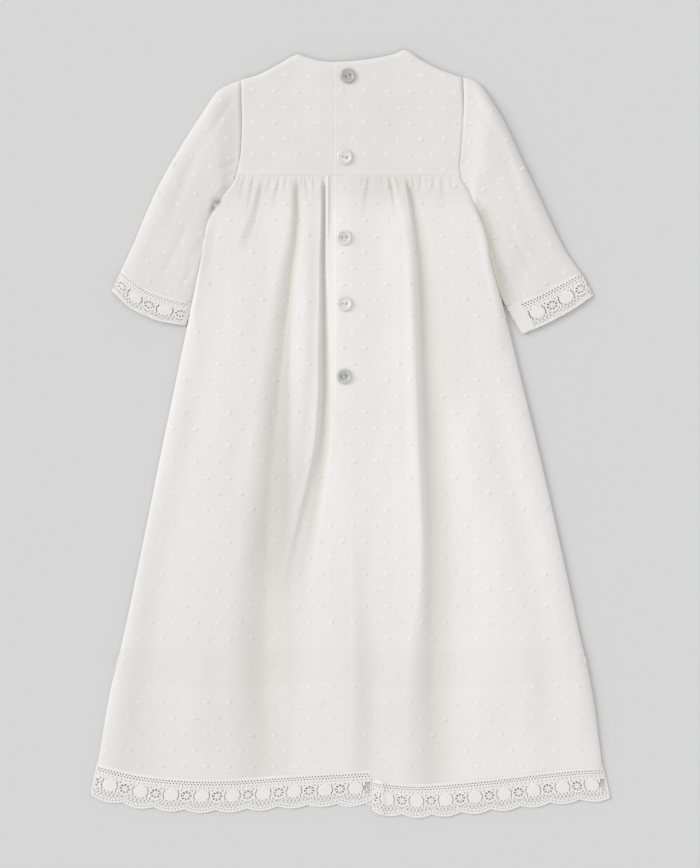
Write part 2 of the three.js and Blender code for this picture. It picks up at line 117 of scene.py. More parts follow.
def smooth(xs, ys):
    """A smooth line through points, as a function."""
    order = np.argsort(xs)
    xs, ys = np.asarray(xs, float)[order], np.asarray(ys, float)[order]
    last = len(xs) - 1
    before = np.maximum(np.arange(last + 1) - 1, 0)
    after = np.minimum(np.arange(last + 1) + 1, last)
    slope = (ys[after] - ys[before]) / (xs[after] - xs[before])

    def at(value):
        value = np.clip(value, xs[0], xs[-1])
        i = np.clip(np.searchsorted(xs, value, side="right") - 1, 0, last - 1)
        span = xs[i + 1] - xs[i]
        t = (value - xs[i]) / span
        rise = ys[i] * (1 + 2 * t) * (1 - t) ** 2 + ys[i + 1] * t * t * (3 - 2 * t)
        return rise + span * (slope[i] * t * (1 - t) ** 2 + slope[i + 1] * t * t * (t - 1))

    return at


def lines(names, rows):
    """Smooth lines by name, one for each column of a table, as functions of its first column."""
    first, *columns = table(names, rows).values()
    return {name: smooth(first, column) for name, column in zip(names.split()[1:], columns)}


skirt_left, skirt_right = lines("y left right", [
    (219.4, -99.5, 94.4), (211, -103.8, 98.6), (203, -110.3, 102.8), (197.5, -115.6, 105.6),
    (187, -121.4, 110.6), (171, -125.8, 116.3), (147.5, -129.6, 120.2), (117.7, -134.4, 127.4),
    (73, -143.2, 138.4), (-11, -160.6, 159), (-92, -176.8, 177.6), (-174, -194, 195.2),
    (-220, -204.6, 205), (-285, -215.2, 213.6),
]).values()
hem_left = lines("x y", [
    (-216, -278.4), (-180, -286.6), (-145, -290.3), (-111, -291.1), (-77, -289.4), (-43, -286.9),
    (20, -283.6),
])["y"]
hem_right = lines("x y", [
    (10, -290.6), (30, -293.6), (59, -295.4), (93, -292.8), (127, -289.4), (161, -285.2), (195, -281.8),
    (215, -281.4),
])["y"]
hem_front = lines("x y", [(-216, -276.4), (-130, -286.4), (0, -286), (130, -286.4), (215, -279)])["y"]
armhole_left, armhole_right = lines("y left right", [
    (219.7, -99.4, 94.3), (228, -97, 93), (240, -94.6, 94), (262, -93.4, 95.6), (282, -93.6, 95.9),
    (304, -93.6, 94.6),
]).values()
back_top = lines("x y", [
    (-93.6, 302.2), (-78, 306.8), (-62, 315.2), (-46, 323.6), (-38, 321.6), (-26, 318.4), (-12, 317.4),
    (6, 318.6), (24, 321.2), (37, 324.2), (46.7, 327.4), (60.6, 318.6), (77.6, 310.2), (94.6, 304.2),
])["y"]
front_top = lines("x y", [
    (-93.6, 302), (-78, 306.6), (-60, 315.8), (-47, 322.6), (-38, 300), (-20, 284), (0, 279), (20, 284),
    (38, 300), (48, 325.6), (60, 318.4), (77.6, 310), (94.6, 304),
])["y"]

# Large folds of the back skirt, each from the waist down: the line of the fold, its height above or
# below the cloth round it, and how far it reaches to the left and right
FOLDS = {title: lines("y x height left right", rows) for title, rows in {
    "valley beside the placket": [
        (222, -23.4, -2.6, 2, 2.6), (187, -23.4, -4.2, 2, 2.8), (149, -24, -4.2, 2.4, 3.6),
        (115, -24, -4.4, 2.6, 5), (73, -24, -4.8, 3, 7), (30, -24.4, -4.8, 3.6, 9),
        (-12, -27, -4.2, 4.6, 11), (-55, -34.5, -2.8, 7, 14), (-97, -43, -1.4, 9, 17),
        (-140, -49, 0, 12, 16),
    ],
    "pleat beside the placket": [
        (222, -19.6, 1.0, 2, 2), (187, -19.8, 1.5, 2.2, 2), (160, -20, 0, 2.4, 2.4),
    ],
    "valley on the left": [
        (222, -46, -1.7, 4.5, 2), (187, -44.6, -2.2, 8, 2.4), (163, -46.4, -2, 10, 2.8),
        (149, -48.6, -1.9, 12, 3), (115, -52.6, -1.8, 15, 3.2), (73, -57.8, -1.7, 18, 6),
        (30, -62.4, -1.6, 21, 10), (-12, -66, -1.5, 22, 14), (-55, -69, -1.2, 24, 17),
        (-97, -72, -0.7, 26, 18), (-140, -73, 0, 28, 18),
    ],
    "lower valley on the left": [
        (-30, -70, 0, 26, 14), (-97, -73, -1.7, 28, 18), (-140, -74, -2.8, 30, 20),
        (-180, -74, -3.2, 31, 21), (-225, -74, -3.5, 32, 22), (-285, -74, -3.1, 32, 24),
    ],
    "broad hollow between the left valleys": [
        (73, -50, 0, 24, 14), (30, -51, -0.6, 26, 18), (-12, -53, -0.9, 30, 26),
        (-55, -56, -1.1, 34, 30), (-97, -58, -1.0, 36, 32), (-150, -60, -0.7, 38, 32),
        (-225, -66, -0.3, 38, 30), (-285, -68, -0.2, 36, 30),
    ],
    "valley on the right": [
        (222, 47, -2.2, 2.5, 3), (187, 52.6, -3.4, 2.8, 12), (149, 56.6, -3.8, 3.2, 17),
        (115, 58.6, -4, 4, 22), (73, 60, -4, 4.6, 27), (30, 61.6, -3.8, 5, 29),
        (-12, 63.4, -3.6, 5.6, 30), (-55, 66, -3.5, 7, 30), (-97, 69, -3.2, 10, 29),
        (-140, 70, -3, 14, 28), (-180, 69, -2.6, 20, 27), (-225, 68, -2.4, 23, 27),
        (-285, 66, -2.2, 24, 27),
    ],
    "rolled edge of the right valley": [
        (205, 44, 0, 6, 3), (149, 51, 0.6, 9, 3.4), (73, 54, 1.0, 11, 3.8), (-12, 57.4, 0.9, 12, 4.4),
        (-97, 61, 0.7, 14, 7), (-180, 62, 0.4, 16, 9),
    ],
    "short crease on the left": [
        (222, -74, -1.2, 4, 2.4), (200, -77.6, -1.7, 6, 3), (187, -80.4, -1.6, 7, 4),
        (165, -87, -1, 9, 7), (150, -92, 0, 10, 10),
    ],
    "crest between the left valleys": [
        (215, -36, 0.2, 8, 8), (149, -38, 1.1, 12, 10), (73, -40, 1.3, 13, 10), (-12, -45, 0.6, 12, 9),
        (-60, -52, 0, 12, 9),
    ],
    "crest down the centre": [
        (215, -9, 0, 10, 24), (149, -9.5, 0.9, 12, 30), (30, -11, 1.6, 15, 34), (-55, -15, 1.7, 24, 38),
        (-140, -20, 1.4, 30, 36), (-225, -21, 1.2, 34, 34), (-285, -20, 1.1, 34, 34),
    ],
    "crest left of the right valley": [
        (215, 40, 0.3, 16, 6), (149, 48, 1.0, 26, 7), (73, 51, 1.3, 30, 8), (-12, 54, 1.2, 30, 9),
        (-97, 58, 0.9, 28, 12), (-200, 58, 0.6, 26, 14), (-285, 58, 0.6, 26, 14),
    ],
    "crest on the right": [
        (160, 72, 0, 14, 20), (73, 78, 1.3, 18, 30), (-12, 97, 1.6, 26, 34), (-97, 114, 1.6, 32, 36),
        (-200, 112, 1.5, 32, 38), (-285, 110, 1.4, 32, 38),
    ],
    "crest on the left": [
        (180, -84, 0, 20, 18), (73, -100, 1.1, 26, 26), (-55, -122, 1.4, 34, 32),
        (-180, -134, 1.3, 40, 36), (-285, -140, 1.2, 40, 36),
    ],
    "dip right of the centre": [
        (-60, 13, 0, 16, 14), (-140, 16, -1.0, 16, 16), (-230, 16, -1.5, 15, 16),
        (-285, 14, -1.4, 15, 16),
    ],
    "dip on the far left": [
        (90, -118, 0, 14, 14), (0, -140, -0.7, 18, 18), (-120, -166, -0.9, 22, 20),
        (-285, -186, -0.8, 22, 22),
    ],
    "dip on the far right": [
        (60, 112, 0, 14, 14), (-40, 136, -0.7, 18, 18), (-140, 158, -0.9, 20, 20),
        (-285, 170, -0.8, 22, 22),
    ],
}.items()}

# How steep each valley is by its bottom: over 1 it has a flat bottom, under 1 long feet
VALLEY_TAPERS = {
    "valley beside the placket": 1.7, "valley on the left": 0.75, "lower valley on the left": 0.85,
}

# How strong the painted shade of a fold is, and how far it leans to the right flank, as a share of that
# flank
PAINTED_SHADE_GAINS = {
    "valley beside the placket": 1.4, "valley on the left": 2.8, "valley on the right": 1.05,
    "short crease on the left": 2.0, "lower valley on the left": 0.5,
    "broad hollow between the left valleys": 2.4,
}
PAINTED_SHADE_LEANS = {
    "valley beside the placket": 0.3, "valley on the left": 0.45, "valley on the right": 0.12,
    "short crease on the left": 0.6,
}

# Creases of the waist gathers: place, length down the cloth, sideways drift, depth and half width
GATHERS = table("x drop drift depth width", [
    (-94, 14, -4, 0.6, 1.8), (-90, 24, -5, 1.2, 2.6), (-85.6, 10, -2, 0.6, 1.4),
    (-82.5, 44, -8, 1.4, 3.0), (-78.2, 12, -2, 0.5, 1.5), (-68, 20, -4, 1.1, 2.6),
    (-64.4, 9, -1, 0.6, 1.5), (-61, 30, -4, 1.4, 2.4), (-54.4, 16, -2, 1.2, 2.0),
    (-50.6, 9, 0, 0.7, 1.4), (-41, 12, 1, 0.8, 1.6), (-38.3, 24, 1, 1.4, 2.1), (-34.6, 11, 0, 0.8, 1.5),
    (-31.8, 18, 0, 1.2, 1.9), (-27.6, 11, -1, 0.8, 1.4), (10.2, 15, -1, 1.2, 2.0),
    (15, 46, -4, 1.1, 3.2), (26, 11, 0, 0.6, 1.6), (32.3, 40, 8, 1.5, 2.4), (38.3, 20, 5, 1.3, 2.0),
    (42.2, 10, 1, 0.8, 1.4), (52, 26, 5, 1.5, 2.3), (55.8, 12, 1, 0.8, 1.5), (59, 20, 1, 1.3, 2.0),
    (64.6, 9, 0, 0.6, 1.5), (70.4, 18, -2, 1.2, 2.2), (77, 34, 3, 0.9, 3.0), (84.6, 18, 4, 0.8, 2.2),
])

SLEEVES = {
    "left": {
        "outer": [(-94.1, 302.4), (-104, 298.2), (-114.4, 291.6), (-127, 273.3), (-144.5, 246),
                  (-160, 219), (-173, 192), (-184, 165), (-195, 141)],
        "inner": [(-116.1, 197.5), (-119.2, 187), (-123.6, 171), (-127.4, 147.5), (-131.4, 124),
                  (-134.4, 113)],
        "cuff": [(-195, 141), (-176, 126.4), (-158, 118.6), (-134.4, 113)],
        "lace_edge": [(-203, 124), (-186, 108.6), (-164, 98.6), (-140, 94)],
    },
    "right": {
        "outer": [(95.1, 304.6), (103, 302.6), (111.5, 296.4), (121, 282.4), (131, 265.4), (143, 239.4),
                  (156, 212), (168.4, 185), (182, 157.6), (195, 139)],
        "inner": [(106.1, 197.5), (109.4, 187), (114.8, 171), (118.8, 147.5), (125.6, 121),
                  (131.2, 109.8)],
        "cuff": [(195, 139), (180, 131.4), (163, 122.6), (146, 114.8), (131.2, 109.8)],
        "lace_edge": [(205, 119.6), (189, 108.6), (169, 97.4), (145, 86.8)],
    },
}
ARMHOLE_TUCK = 1.6
SEWN_HEIGHT = 1.3
UNDERARM = (-113.8, 197.8)
CUFF_LEVEL = 113
SLEEVE_LEAN = {"left": -0.5, "right": 0.5}
FLARE = {"left": -5.5, "right": 6}

# The face and rim columns give how light each button is, from 0 to 1
BUTTONS = table("x y turn face rim", [
    (-2.7, 305.2, 20, 0.6, 0.62), (-5.3, 236.3, -8, 1.0, 1.0), (-5.7, 167.9, 5, 0.88, 0.96),
    (-5.5, 111.8, -4, 1.0, 1.0), (-6, 50.1, 12, 0.6, 0.78),
])


# Curves and heights

def ease(value, start, end):
    t = np.clip((value - start) / (end - start), 0, 1)
    return t * t * (3 - 2 * t)


def mix(a, b, t):
    return a + (b - a) * t


def round_edge(distance, reach):
    """A quarter-round rise from 0 at an edge to 1 at the given distance inside it."""
    left = 1 - np.clip(distance / reach, 0, 1)
    return np.sqrt(1 - left * left)


def bump(aside, left, right, taper=1.0):
    """A smooth hump, 1 at its middle, that reaches a different distance on each side.
    A taper under 1 makes it steep by its middle, with long feet."""
    share = np.clip(np.abs(aside) / np.where(aside < 0, left, right), 0, 1)
    return 0.5 + 0.5 * np.cos(np.pi * share ** taper)


def ripple(seed, size_x, size_y):
    """Soft seeded unevenness between -1 and 1, with lumps of the given size."""
    knots = np.random.RandomState(seed).uniform(-1, 1, (97, 97))

    def at(x, y):
        u, v = np.asarray(x) / size_x + 40, np.asarray(y) / size_y + 40
        i, j = np.floor(u).astype(int), np.floor(v).astype(int)
        a, b = ease(u - i, 0, 1), ease(v - j, 0, 1)
        i, j = i % 96, j % 96
        low = mix(knots[i, j], knots[i + 1, j], a)
        high = mix(knots[i, j + 1], knots[i + 1, j + 1], a)
        return mix(low, high, b)

    return at


def curve(points):
    """A smooth curve through plan points, by share of its length."""
    points = np.array(points, float)
    ends = np.vstack([points[:1], points, points[-1:]])
    dense = []
    for p0, p1, p2, p3 in zip(ends, ends[1:], ends[2:], ends[3:]):
        t = np.linspace(0, 1, 24, endpoint=False)[:, None]
        a, b = (p2 - p0) / 2, (p3 - p1) / 2
        dense.append(p1 + a * t + (3 * (p2 - p1) - 2 * a - b) * t ** 2 + (2 * (p1 - p2) + a + b) * t ** 3)
    dense = np.vstack(dense + [points[-1:]])
    run = np.concatenate([[0], np.cumsum(np.hypot(*np.diff(dense, axis=0).T))])
    run /= run[-1]
    return lambda t: np.stack([np.interp(t, run, dense[:, 0]), np.interp(t, run, dense[:, 1])], -1)


hems = {"left": hem_left, "right": hem_right}
long_waves = ripple(3, 26, 90)
soft_lumps = ripple(5, 34, 40)
small_lumps = ripple(8, 9, 14)
yoke_lumps = ripple(11, 24, 18)


def seam_x(y):
    """The centre-back seam, which slants a little to the right below the placket."""
    return mix(-16.5, 18, np.clip((PLACKET_END - y) / 320, 0, 1))


def gather_depth(x, y):
    """How deep the creases of the waist gathers are."""
    depths = np.zeros_like(x)
    down = WAIST - y
    for gx, drop, drift, depth, width in zip(*GATHERS.values()):
        share = down / drop
        near = (share < 1) & (np.abs(x - gx) < 20)
        if near.any():
            s = np.clip(share[near], 0, 1)
            reach = width * (1 + 1.3 * s)
            aside = x[near] - gx - (drift + 1.5 * np.sin(gx + 4 * s)) * s
            crease = bump(aside, 0.8 * reach, 1.5 * reach, 0.85)
            begun = 0.2 + 0.8 * ease(down[near], -1, 3 + 5 * abs(np.sin(gx)))
            depths[near] += depth * begun * (1 - s) ** 1.3 * crease
    return depths


def fold_heights(x, y):
    """The rise and the fall of the large folds, which begin softly at the waist."""
    rise, fall = np.zeros_like(x), np.zeros_like(x)
    for title, fold in FOLDS.items():
        taper = VALLEY_TAPERS.get(title, 1.0)
        height = fold["height"](y) * bump(x - fold["x"](y), fold["left"](y), fold["right"](y), taper)
        rise += np.maximum(height, 0)
        fall += np.maximum(-height, 0)
    return rise, fall * (0.1 + 0.9 * ease(WAIST - y, 0, 12))


def painted_fold_shade(x, y):
    """Painted shade of the large folds: how much greyer they make the cloth's colour, over a band a little
    wider than the folds; the crests are painted a little lighter.
    """
    grey = np.zeros_like(x)
    for title, fold in FOLDS.items():
        height, lean = fold["height"](y), PAINTED_SHADE_LEANS.get(title, 0.0)
        left, right = PAINTED_SHADE_SPREAD * fold["left"](y), (PAINTED_SHADE_SPREAD - lean) * fold["right"](y)
        amount = np.where(height < 0, VALLEY_PAINTED_SHADE * PAINTED_SHADE_GAINS.get(title, 1.0), CREST_PAINTED_LIGHT)
        grey -= amount * height * bump(x - fold["x"](y) - lean * fold["right"](y), left, right)
    return grey * (0.15 + 0.85 * ease(WAIST - y, 0, 12))


def underarm_pit(x, y):
    """The small hollow where the left sleeve meets the skirt, from 0 to 1."""
    across, down = x - UNDERARM[0], UNDERARM[1] - y
    hollow = np.exp(-((across - 0.6) / 3.4) ** 2 - (down / 2.8) ** 2)
    tail = 0.8 * np.exp(-((across + 1.4 + 0.35 * down) / 2.0) ** 2 - ((down - 4.5) / 4.5) ** 2)
    return np.maximum(hollow, tail)


def skirt_top(x, y):
    """Height of the outer face of the back skirt where nothing is lapped."""
    edge = np.minimum(x - skirt_left(y), skirt_right(y) - x)
    below_cuffs = ease(CUFF_LEVEL - y, 0, 60)
    edge_reach = mix(mix(np.where(x < 0, 4, 7), 20, below_cuffs), 4, ease(y, 197, 204))
    rise, fall = fold_heights(x, y)
    down = WAIST - y
    plain_back = ease(x, -28, -22) * (1 - ease(x, 5, 11))
    height = SKIRT_PUFF * (0.58 + 0.42 * ease(down, -2, 46)) + rise - fall - gather_depth(x, y)
    height = height + WAIST_ROLL * np.exp(-((down - 9) / 9) ** 2) * (1 - plain_back)
    height = height + LONG_WAVES * long_waves(x - 0.12 * y * np.sign(x), y) + SOFT_LUMPS * soft_lumps(x, y)
    height = height + SMALL_LUMPS * small_lumps(x, y)
    height = height * (1 - 0.5 * ease(down, 430, SKIRT_LENGTH + 4))
    height = np.where(height < LEAST_PUFF, LEAST_PUFF * np.exp(height / LEAST_PUFF - 1), height)
    height = height * round_edge(edge, edge_reach) * (1 - 0.6 * underarm_pit(x, y))
    return EDGE_HEIGHT + BESIDE_SLEEVE * bump(y - 155, 60, 48) * (1 - ease(edge, 0, 12)) + height


def cloth_grey_and_painted_shade(x, y):
    """How grey and warm the white is painted, from 0 to 1: painted shade in the folds, the gathers and the
    underarm hollow, and a grey painted into the colour that is least down the middle of the back."""
    low = ease(-y, 70, 250)
    plain = PLAIN_TONE - MIDDLE_TONE * np.exp(-((x - 2) / MIDDLE_REACH) ** 2)
    plain = plain + LEFT_TONE * ease(-x, 60, 190) - RIGHT_TONE * ease(x, 60, 120) * ease(120 - y, 0, 120)
    near_hem = HEM_TONES["all"] + HEM_TONES["middle"] * np.exp(-(x / MIDDLE_REACH) ** 2)
    plain = plain + low * (near_hem + HEM_TONES["right"] * ease(x, 60, 180))
    waist = WAIST_TONES["all"] + WAIST_TONES["right of the placket"] * np.exp(-((x - 25) / 36) ** 2)
    waist = waist * (1 - ease(WAIST - y, 4, 40))
    folds = np.clip(plain + waist + painted_fold_shade(x, y) + GATHER_PAINTED_SHADE * gather_depth(x, y), 0, 0.95)
    return folds + PIT_PAINTED_SHADE * underarm_pit(x, y)


def yoke_top(x, y):
    """Height of the outer face of the back yoke where nothing is lapped."""
    side = np.minimum(x - armhole_left(y), armhole_right(y) - x)
    seam_roll = 0.25 * np.exp(-((y - WAIST - 2.4) / 2.2) ** 2)
    height = YOKE_PUFF + 0.42 * yoke_lumps(x, y) + 0.1 * small_lumps(x, y) + seam_roll
    height = height - 0.3 * (1 - round_edge(y - WAIST, 2.2))
    return EDGE_HEIGHT + 0.4 + height * round_edge(side, 2.4) * round_edge(back_top(x) - y, 5)


def lap_lift(x, y):
    """How far the right half of the back is lifted where it lies over the left half."""
    past_lap = 1 - ease(x, LAP_RIGHT, LAP_RIGHT + 34)
    past_placket = ease(y, PLACKET_END - 24, PLACKET_END - 5)
    return LAP_LIFT * past_lap * past_placket


skirt_tops = {"left": skirt_top, "right": lambda x, y: skirt_top(x, y) + lap_lift(x, y)}
yoke_tops = {"left": yoke_top, "right": lambda x, y: yoke_top(x, y) + lap_lift(x, y)}


# Meshes

def add_object(name, data):
    made = bpy.data.objects.new(name, data)
    bpy.context.scene.collection.objects.link(made)
    return made


def make(name, parts, slot, *nodes, tone=None):
    """Joins parts, each of points in millimetres, faces and a material, into one named piece.
    The tone is a function of plan points that paints shade into the cloth's colour, as in its folds."""
    points, faces, kinds, materials = [], [], [], []
    start = 0
    for part_points, part_faces, material in parts:
        if material not in materials:
            materials.append(material)
        points.append(np.asarray(part_points, float).reshape(-1, 3))
        for some in part_faces:
            faces.extend((np.asarray(some) + start).tolist())
            kinds.extend([materials.index(material)] * len(some))
        start += len(points[-1])
    mesh = bpy.data.meshes.new(name)
    mesh.from_pydata((np.vstack(points) * MM).tolist(), [], faces)
    for material in materials:
        mesh.materials.append(material)
    mesh.polygons.foreach_set("material_index", kinds)
    mesh.polygons.foreach_set("use_smooth", [True] * len(faces))
    mesh.update()
    mesh.set_sharp_from_angle(angle=math.radians(70))
    # The tone goes to the material as an attribute, which paints shade into the colour
    if tone:
        x, y = np.vstack(points)[:, :2].T
        mesh.attributes.new("tone", "FLOAT", "POINT").data.foreach_set("value", tone(x, y))
    piece = add_object(name, mesh)
    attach(piece, "root")
    if nodes:
        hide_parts(*nodes)
    return piece


def grid_faces(rows, cols, start=0, wrap=False):
    r, c = np.meshgrid(np.arange(rows - 1), np.arange(cols if wrap else cols - 1), indexing="ij")
    a, b = r * cols + c, r * cols + (c + 1) % cols
    return np.stack([a, a + cols, b + cols, b], -1).reshape(-1, 4) + start


def grid_rim(rows, cols):
    """The points round the edge of a grid, and the next point of each."""
    index = np.arange(rows * cols).reshape(rows, cols)
    rim = np.concatenate([index[0, ::-1], index[1:, 0], index[-1, 1:], index[-2:0:-1, -1]])
    return rim, np.roll(rim, -1)


def grid_normals(grid, wrap=False):
    if wrap:
        across = np.roll(grid, -1, axis=1) - np.roll(grid, 1, axis=1)
    else:
        across = np.gradient(grid, axis=1)
    normals = np.cross(np.gradient(grid, axis=0), across)
    return normals / np.maximum(np.linalg.norm(normals, axis=-1, keepdims=True), 1e-9)


def shell(grid, thickness, material):
    """A closed thin sheet. The grid is its upper face: rows run down and columns to the right."""
    rows, cols = grid.shape[:2]
    lower = grid - thickness * grid_normals(grid)
    under = rows * cols
    rim, after = grid_rim(rows, cols)
    bottom = grid_faces(rows, cols, under)[:, ::-1]
    side = np.stack([after, after + under, rim + under, rim], -1)
    points = np.concatenate([grid.reshape(-1, 3), lower.reshape(-1, 3)])
    return points, [grid_faces(rows, cols), bottom, side], material


def tube_shell(grid, thickness, material):
    """A closed thin wall round a tube, open at its two ends."""
    rows, cols = grid.shape[:2]
    inner = grid - thickness * grid_normals(grid, wrap=True)
    under, last = rows * cols, (rows - 1) * cols
    ring = np.arange(cols)
    after = (ring + 1) % cols
    faces = [
        grid_faces(rows, cols, wrap=True),
        grid_faces(rows, cols, under, wrap=True)[:, ::-1],
        np.stack([ring, after, after + under, ring + under], -1),
        np.stack([ring, ring + under, after + under, after], -1) + last,
    ]
    return np.concatenate([grid.reshape(-1, 3), inner.reshape(-1, 3)]), faces, material


def threads(paths, width, height, material, closed=False):
    """Thin threads of four sides along paths, an array of threads by points by x, y and z."""
    paths = np.asarray(paths, float)
    count, steps = paths.shape[:2]
    if closed:
        along = np.roll(paths, -1, axis=1) - np.roll(paths, 1, axis=1)
    else:
        along = np.gradient(paths, axis=1)
    along /= np.maximum(np.linalg.norm(along, axis=-1, keepdims=True), 1e-9)
    side = np.cross(along, (0, 0, 1))
    side /= np.maximum(np.linalg.norm(side, axis=-1, keepdims=True), 1e-9)
    up = np.cross(side, along)
    wide, high = side * width, up * height
    rings = np.stack([paths + wide, paths + high, paths - wide, paths - high], 2)
    thread, step, corner = np.meshgrid(
        np.arange(count), np.arange(steps if closed else steps - 1), np.arange(4), indexing="ij",
    )
    here = thread * steps * 4 + step * 4
    there = thread * steps * 4 + (step + 1) % steps * 4
    following = (corner + 1) % 4
    walls = np.stack([here + corner, here + following, there + following, there + corner], -1)
    faces = [walls.reshape(-1, 4)]
    if not closed:
        starts = np.arange(count)[:, None] * steps * 4
        faces.append(starts + np.array([3, 2, 1, 0]))
        faces.append(starts + (steps - 1) * 4 + np.arange(4))
    return rings.reshape(-1, 3), faces, material


# Materials

# The white's tint by tone: neutral on plain cloth, and painted shade that is warmer in the folds and brown
# in the underarm hollow
PAINTED_SHADE_TINTS = table("tone red green blue", [
    (0, 1, 1, 1), (0.4, 0.914, 0.912, 0.908), (0.95, 0.772, 0.76, 0.712), (2.5, 0.40, 0.34, 0.20),
])


def node(tree, kind, links=(), **settings):
    """Adds a shader node with its settings, and with links of pairs, each an input and what feeds it."""
    made = tree.nodes.new(kind)
    for name, value in settings.items():
        if name in made.inputs:
            made.inputs[name].default_value = value
        else:
            setattr(made, name, value)
    for socket, output in links:
        tree.links.new(output, made.inputs[socket])
    return made


def ramp(tree, value, stops):
    """A colour ramp through stops, each a place and a colour."""
    made = node(tree, "ShaderNodeValToRGB", [("Fac", value)])
    elements = made.color_ramp.elements
    for i, (place, colour) in enumerate(stops):
        stop = elements[i] if i < 2 else elements.new(place)
        stop.position = place
        stop.color = (*colour, 1)
    return made.outputs["Color"]


def fabric(name, light, dark, slub, grain, bump_height, turn=0.0, sheen=0.25):
    """Matt woven cotton: slubs along the weft, fainter ones along the warp, and a fine grain."""
    material = bpy.data.materials.new(name)
    material.use_nodes = True
    tree = material.node_tree
    shader = tree.nodes["Principled BSDF"]
    settings = {"Roughness": 0.9, "Specular IOR Level": 0.2, "Sheen Weight": sheen, "Sheen Roughness": 0.5}
    for socket, value in settings.items():
        shader.inputs[socket].default_value = value
    place = node(tree, "ShaderNodeTexCoord").outputs["Object"]
    turned = node(tree, "ShaderNodeMapping", [("Vector", place)], Rotation=(0, 0, turn)).outputs["Vector"]

    def noise(scale, detail):
        stretched = node(tree, "ShaderNodeMapping", [("Vector", turned)], Scale=scale)
        links = [("Vector", stretched.outputs["Vector"])]
        made = node(tree, "ShaderNodeTexNoise", links, Scale=1.0, Detail=detail, Roughness=0.6)
        return made.outputs["Fac"]

    def math_node(operation, a, b):
        made = node(tree, "ShaderNodeMath", operation=operation)
        for socket, value in zip(made.inputs, (a, b)):
            if isinstance(value, float):
                socket.default_value = value
            else:
                tree.links.new(value, socket)
        return made.outputs[0]

    weft = noise((55, 620, 200), 3.0)
    warp = noise((700, 70, 200), 2.0)
    fine = noise((1500, 1900, 1500), 1.0)
    cloudy = noise((16, 14, 16), 2.0)
    weave = math_node("ADD", math_node("MULTIPLY", weft, slub), math_node("MULTIPLY", warp, 0.5 * slub))
    weave = math_node("ADD", weave, math_node("MULTIPLY", fine, grain))
    tone = math_node("ADD", math_node("MULTIPLY", weave, 0.45), math_node("MULTIPLY", cloudy, 0.35))
    cloth = ramp(tree, tone, ((0.25, dark), (0.85, light)))
    # The tone attribute multiplies painted shade into the cloth's colour, by the tints above
    painted_shade_amount = node(tree, "ShaderNodeAttribute", attribute_name="tone").outputs["Fac"]
    darkest = float(PAINTED_SHADE_TINTS["tone"][-1])
    stops = [(tone_at / darkest, colour) for tone_at, *colour in zip(*PAINTED_SHADE_TINTS.values())]
    tint = ramp(tree, math_node("MULTIPLY", painted_shade_amount, 1 / darkest), stops)
    tinted = node(tree, "ShaderNodeMix", data_type="RGBA", blend_type="MULTIPLY")
    tinted.inputs[0].default_value = 1.0
    tree.links.new(cloth, tinted.inputs[6])
    tree.links.new(tint, tinted.inputs[7])
    relief = node(tree, "ShaderNodeBump", [("Height", weave)], Strength=1.0, Distance=bump_height)
    tree.links.new(tinted.outputs[2], shader.inputs["Base Color"])
    tree.links.new(relief.outputs["Normal"], shader.inputs["Normal"])
    return material


def plain(name, colour, roughness, coat=0.0):
    material = bpy.data.materials.new(name)
    material.use_nodes = True
    shader = material.node_tree.nodes["Principled BSDF"]
    shader.inputs["Base Color"].default_value = (*colour, 1)
    shader.inputs["Roughness"].default_value = roughness
    shader.inputs["Coat Weight"].default_value = coat
    return material


def pearl(name, lightness):
    """Pearly shell with faint swirls."""
    light, dark = ((grey, grey, 0.96 * grey) for grey in (lightness, 0.55 * lightness))
    material = plain(name, light, 0.28, 0.6)
    tree = material.node_tree
    place = node(tree, "ShaderNodeTexCoord").outputs["Object"]
    swirl = node(tree, "ShaderNodeTexNoise", [("Vector", place)], Scale=360.0, Detail=3.0, Distortion=1.5)
    colour = ramp(tree, swirl.outputs["Fac"], ((0, dark), (1, light)))
    tree.links.new(colour, tree.nodes["Principled BSDF"].inputs["Base Color"])
    return material


SKIRT_LIGHT = (0.95, 0.944, 0.928)
SKIRT_DARK = (0.90, 0.892, 0.873)
COTTON_LIGHT = (0.85, 0.839, 0.818)
COTTON_DARK = (0.80, 0.79, 0.768)
cotton_look = {"slub": 0.55, "grain": 0.35, "bump_height": 0.00035}
cotton_skirt = fabric("dotted cotton, skirt", SKIRT_LIGHT, SKIRT_DARK, **cotton_look)
cotton = fabric("dotted cotton", COTTON_LIGHT, COTTON_DARK, **cotton_look)
cotton_sleeve = {
    side: fabric(f"dotted cotton, {side} sleeve", COTTON_LIGHT, COTTON_DARK, **cotton_look, turn=lean)
    for side, lean in SLEEVE_LEAN.items()
}
tuft_look = {"slub": 0.5, "grain": 0.7, "bump_height": 0.0002, "sheen": 0.4}
skirt_tufts = fabric("tufts, skirt", (0.955, 0.95, 0.935), (0.905, 0.895, 0.875), **tuft_look)
tuft_cotton = fabric("tufts", (0.876, 0.866, 0.846), (0.826, 0.816, 0.79), **tuft_look)
lace_look = {"slub": 0.3, "grain": 0.4, "bump_height": 0.0001}
lace_cotton = fabric("lace", (0.91, 0.90, 0.875), (0.86, 0.848, 0.815), **lace_look)
insertion_cotton = fabric("insertion", (0.948, 0.94, 0.922), (0.893, 0.884, 0.862), **lace_look)
sewing_thread = plain("sewing thread", (0.85, 0.84, 0.80), 0.7)


# Tufts

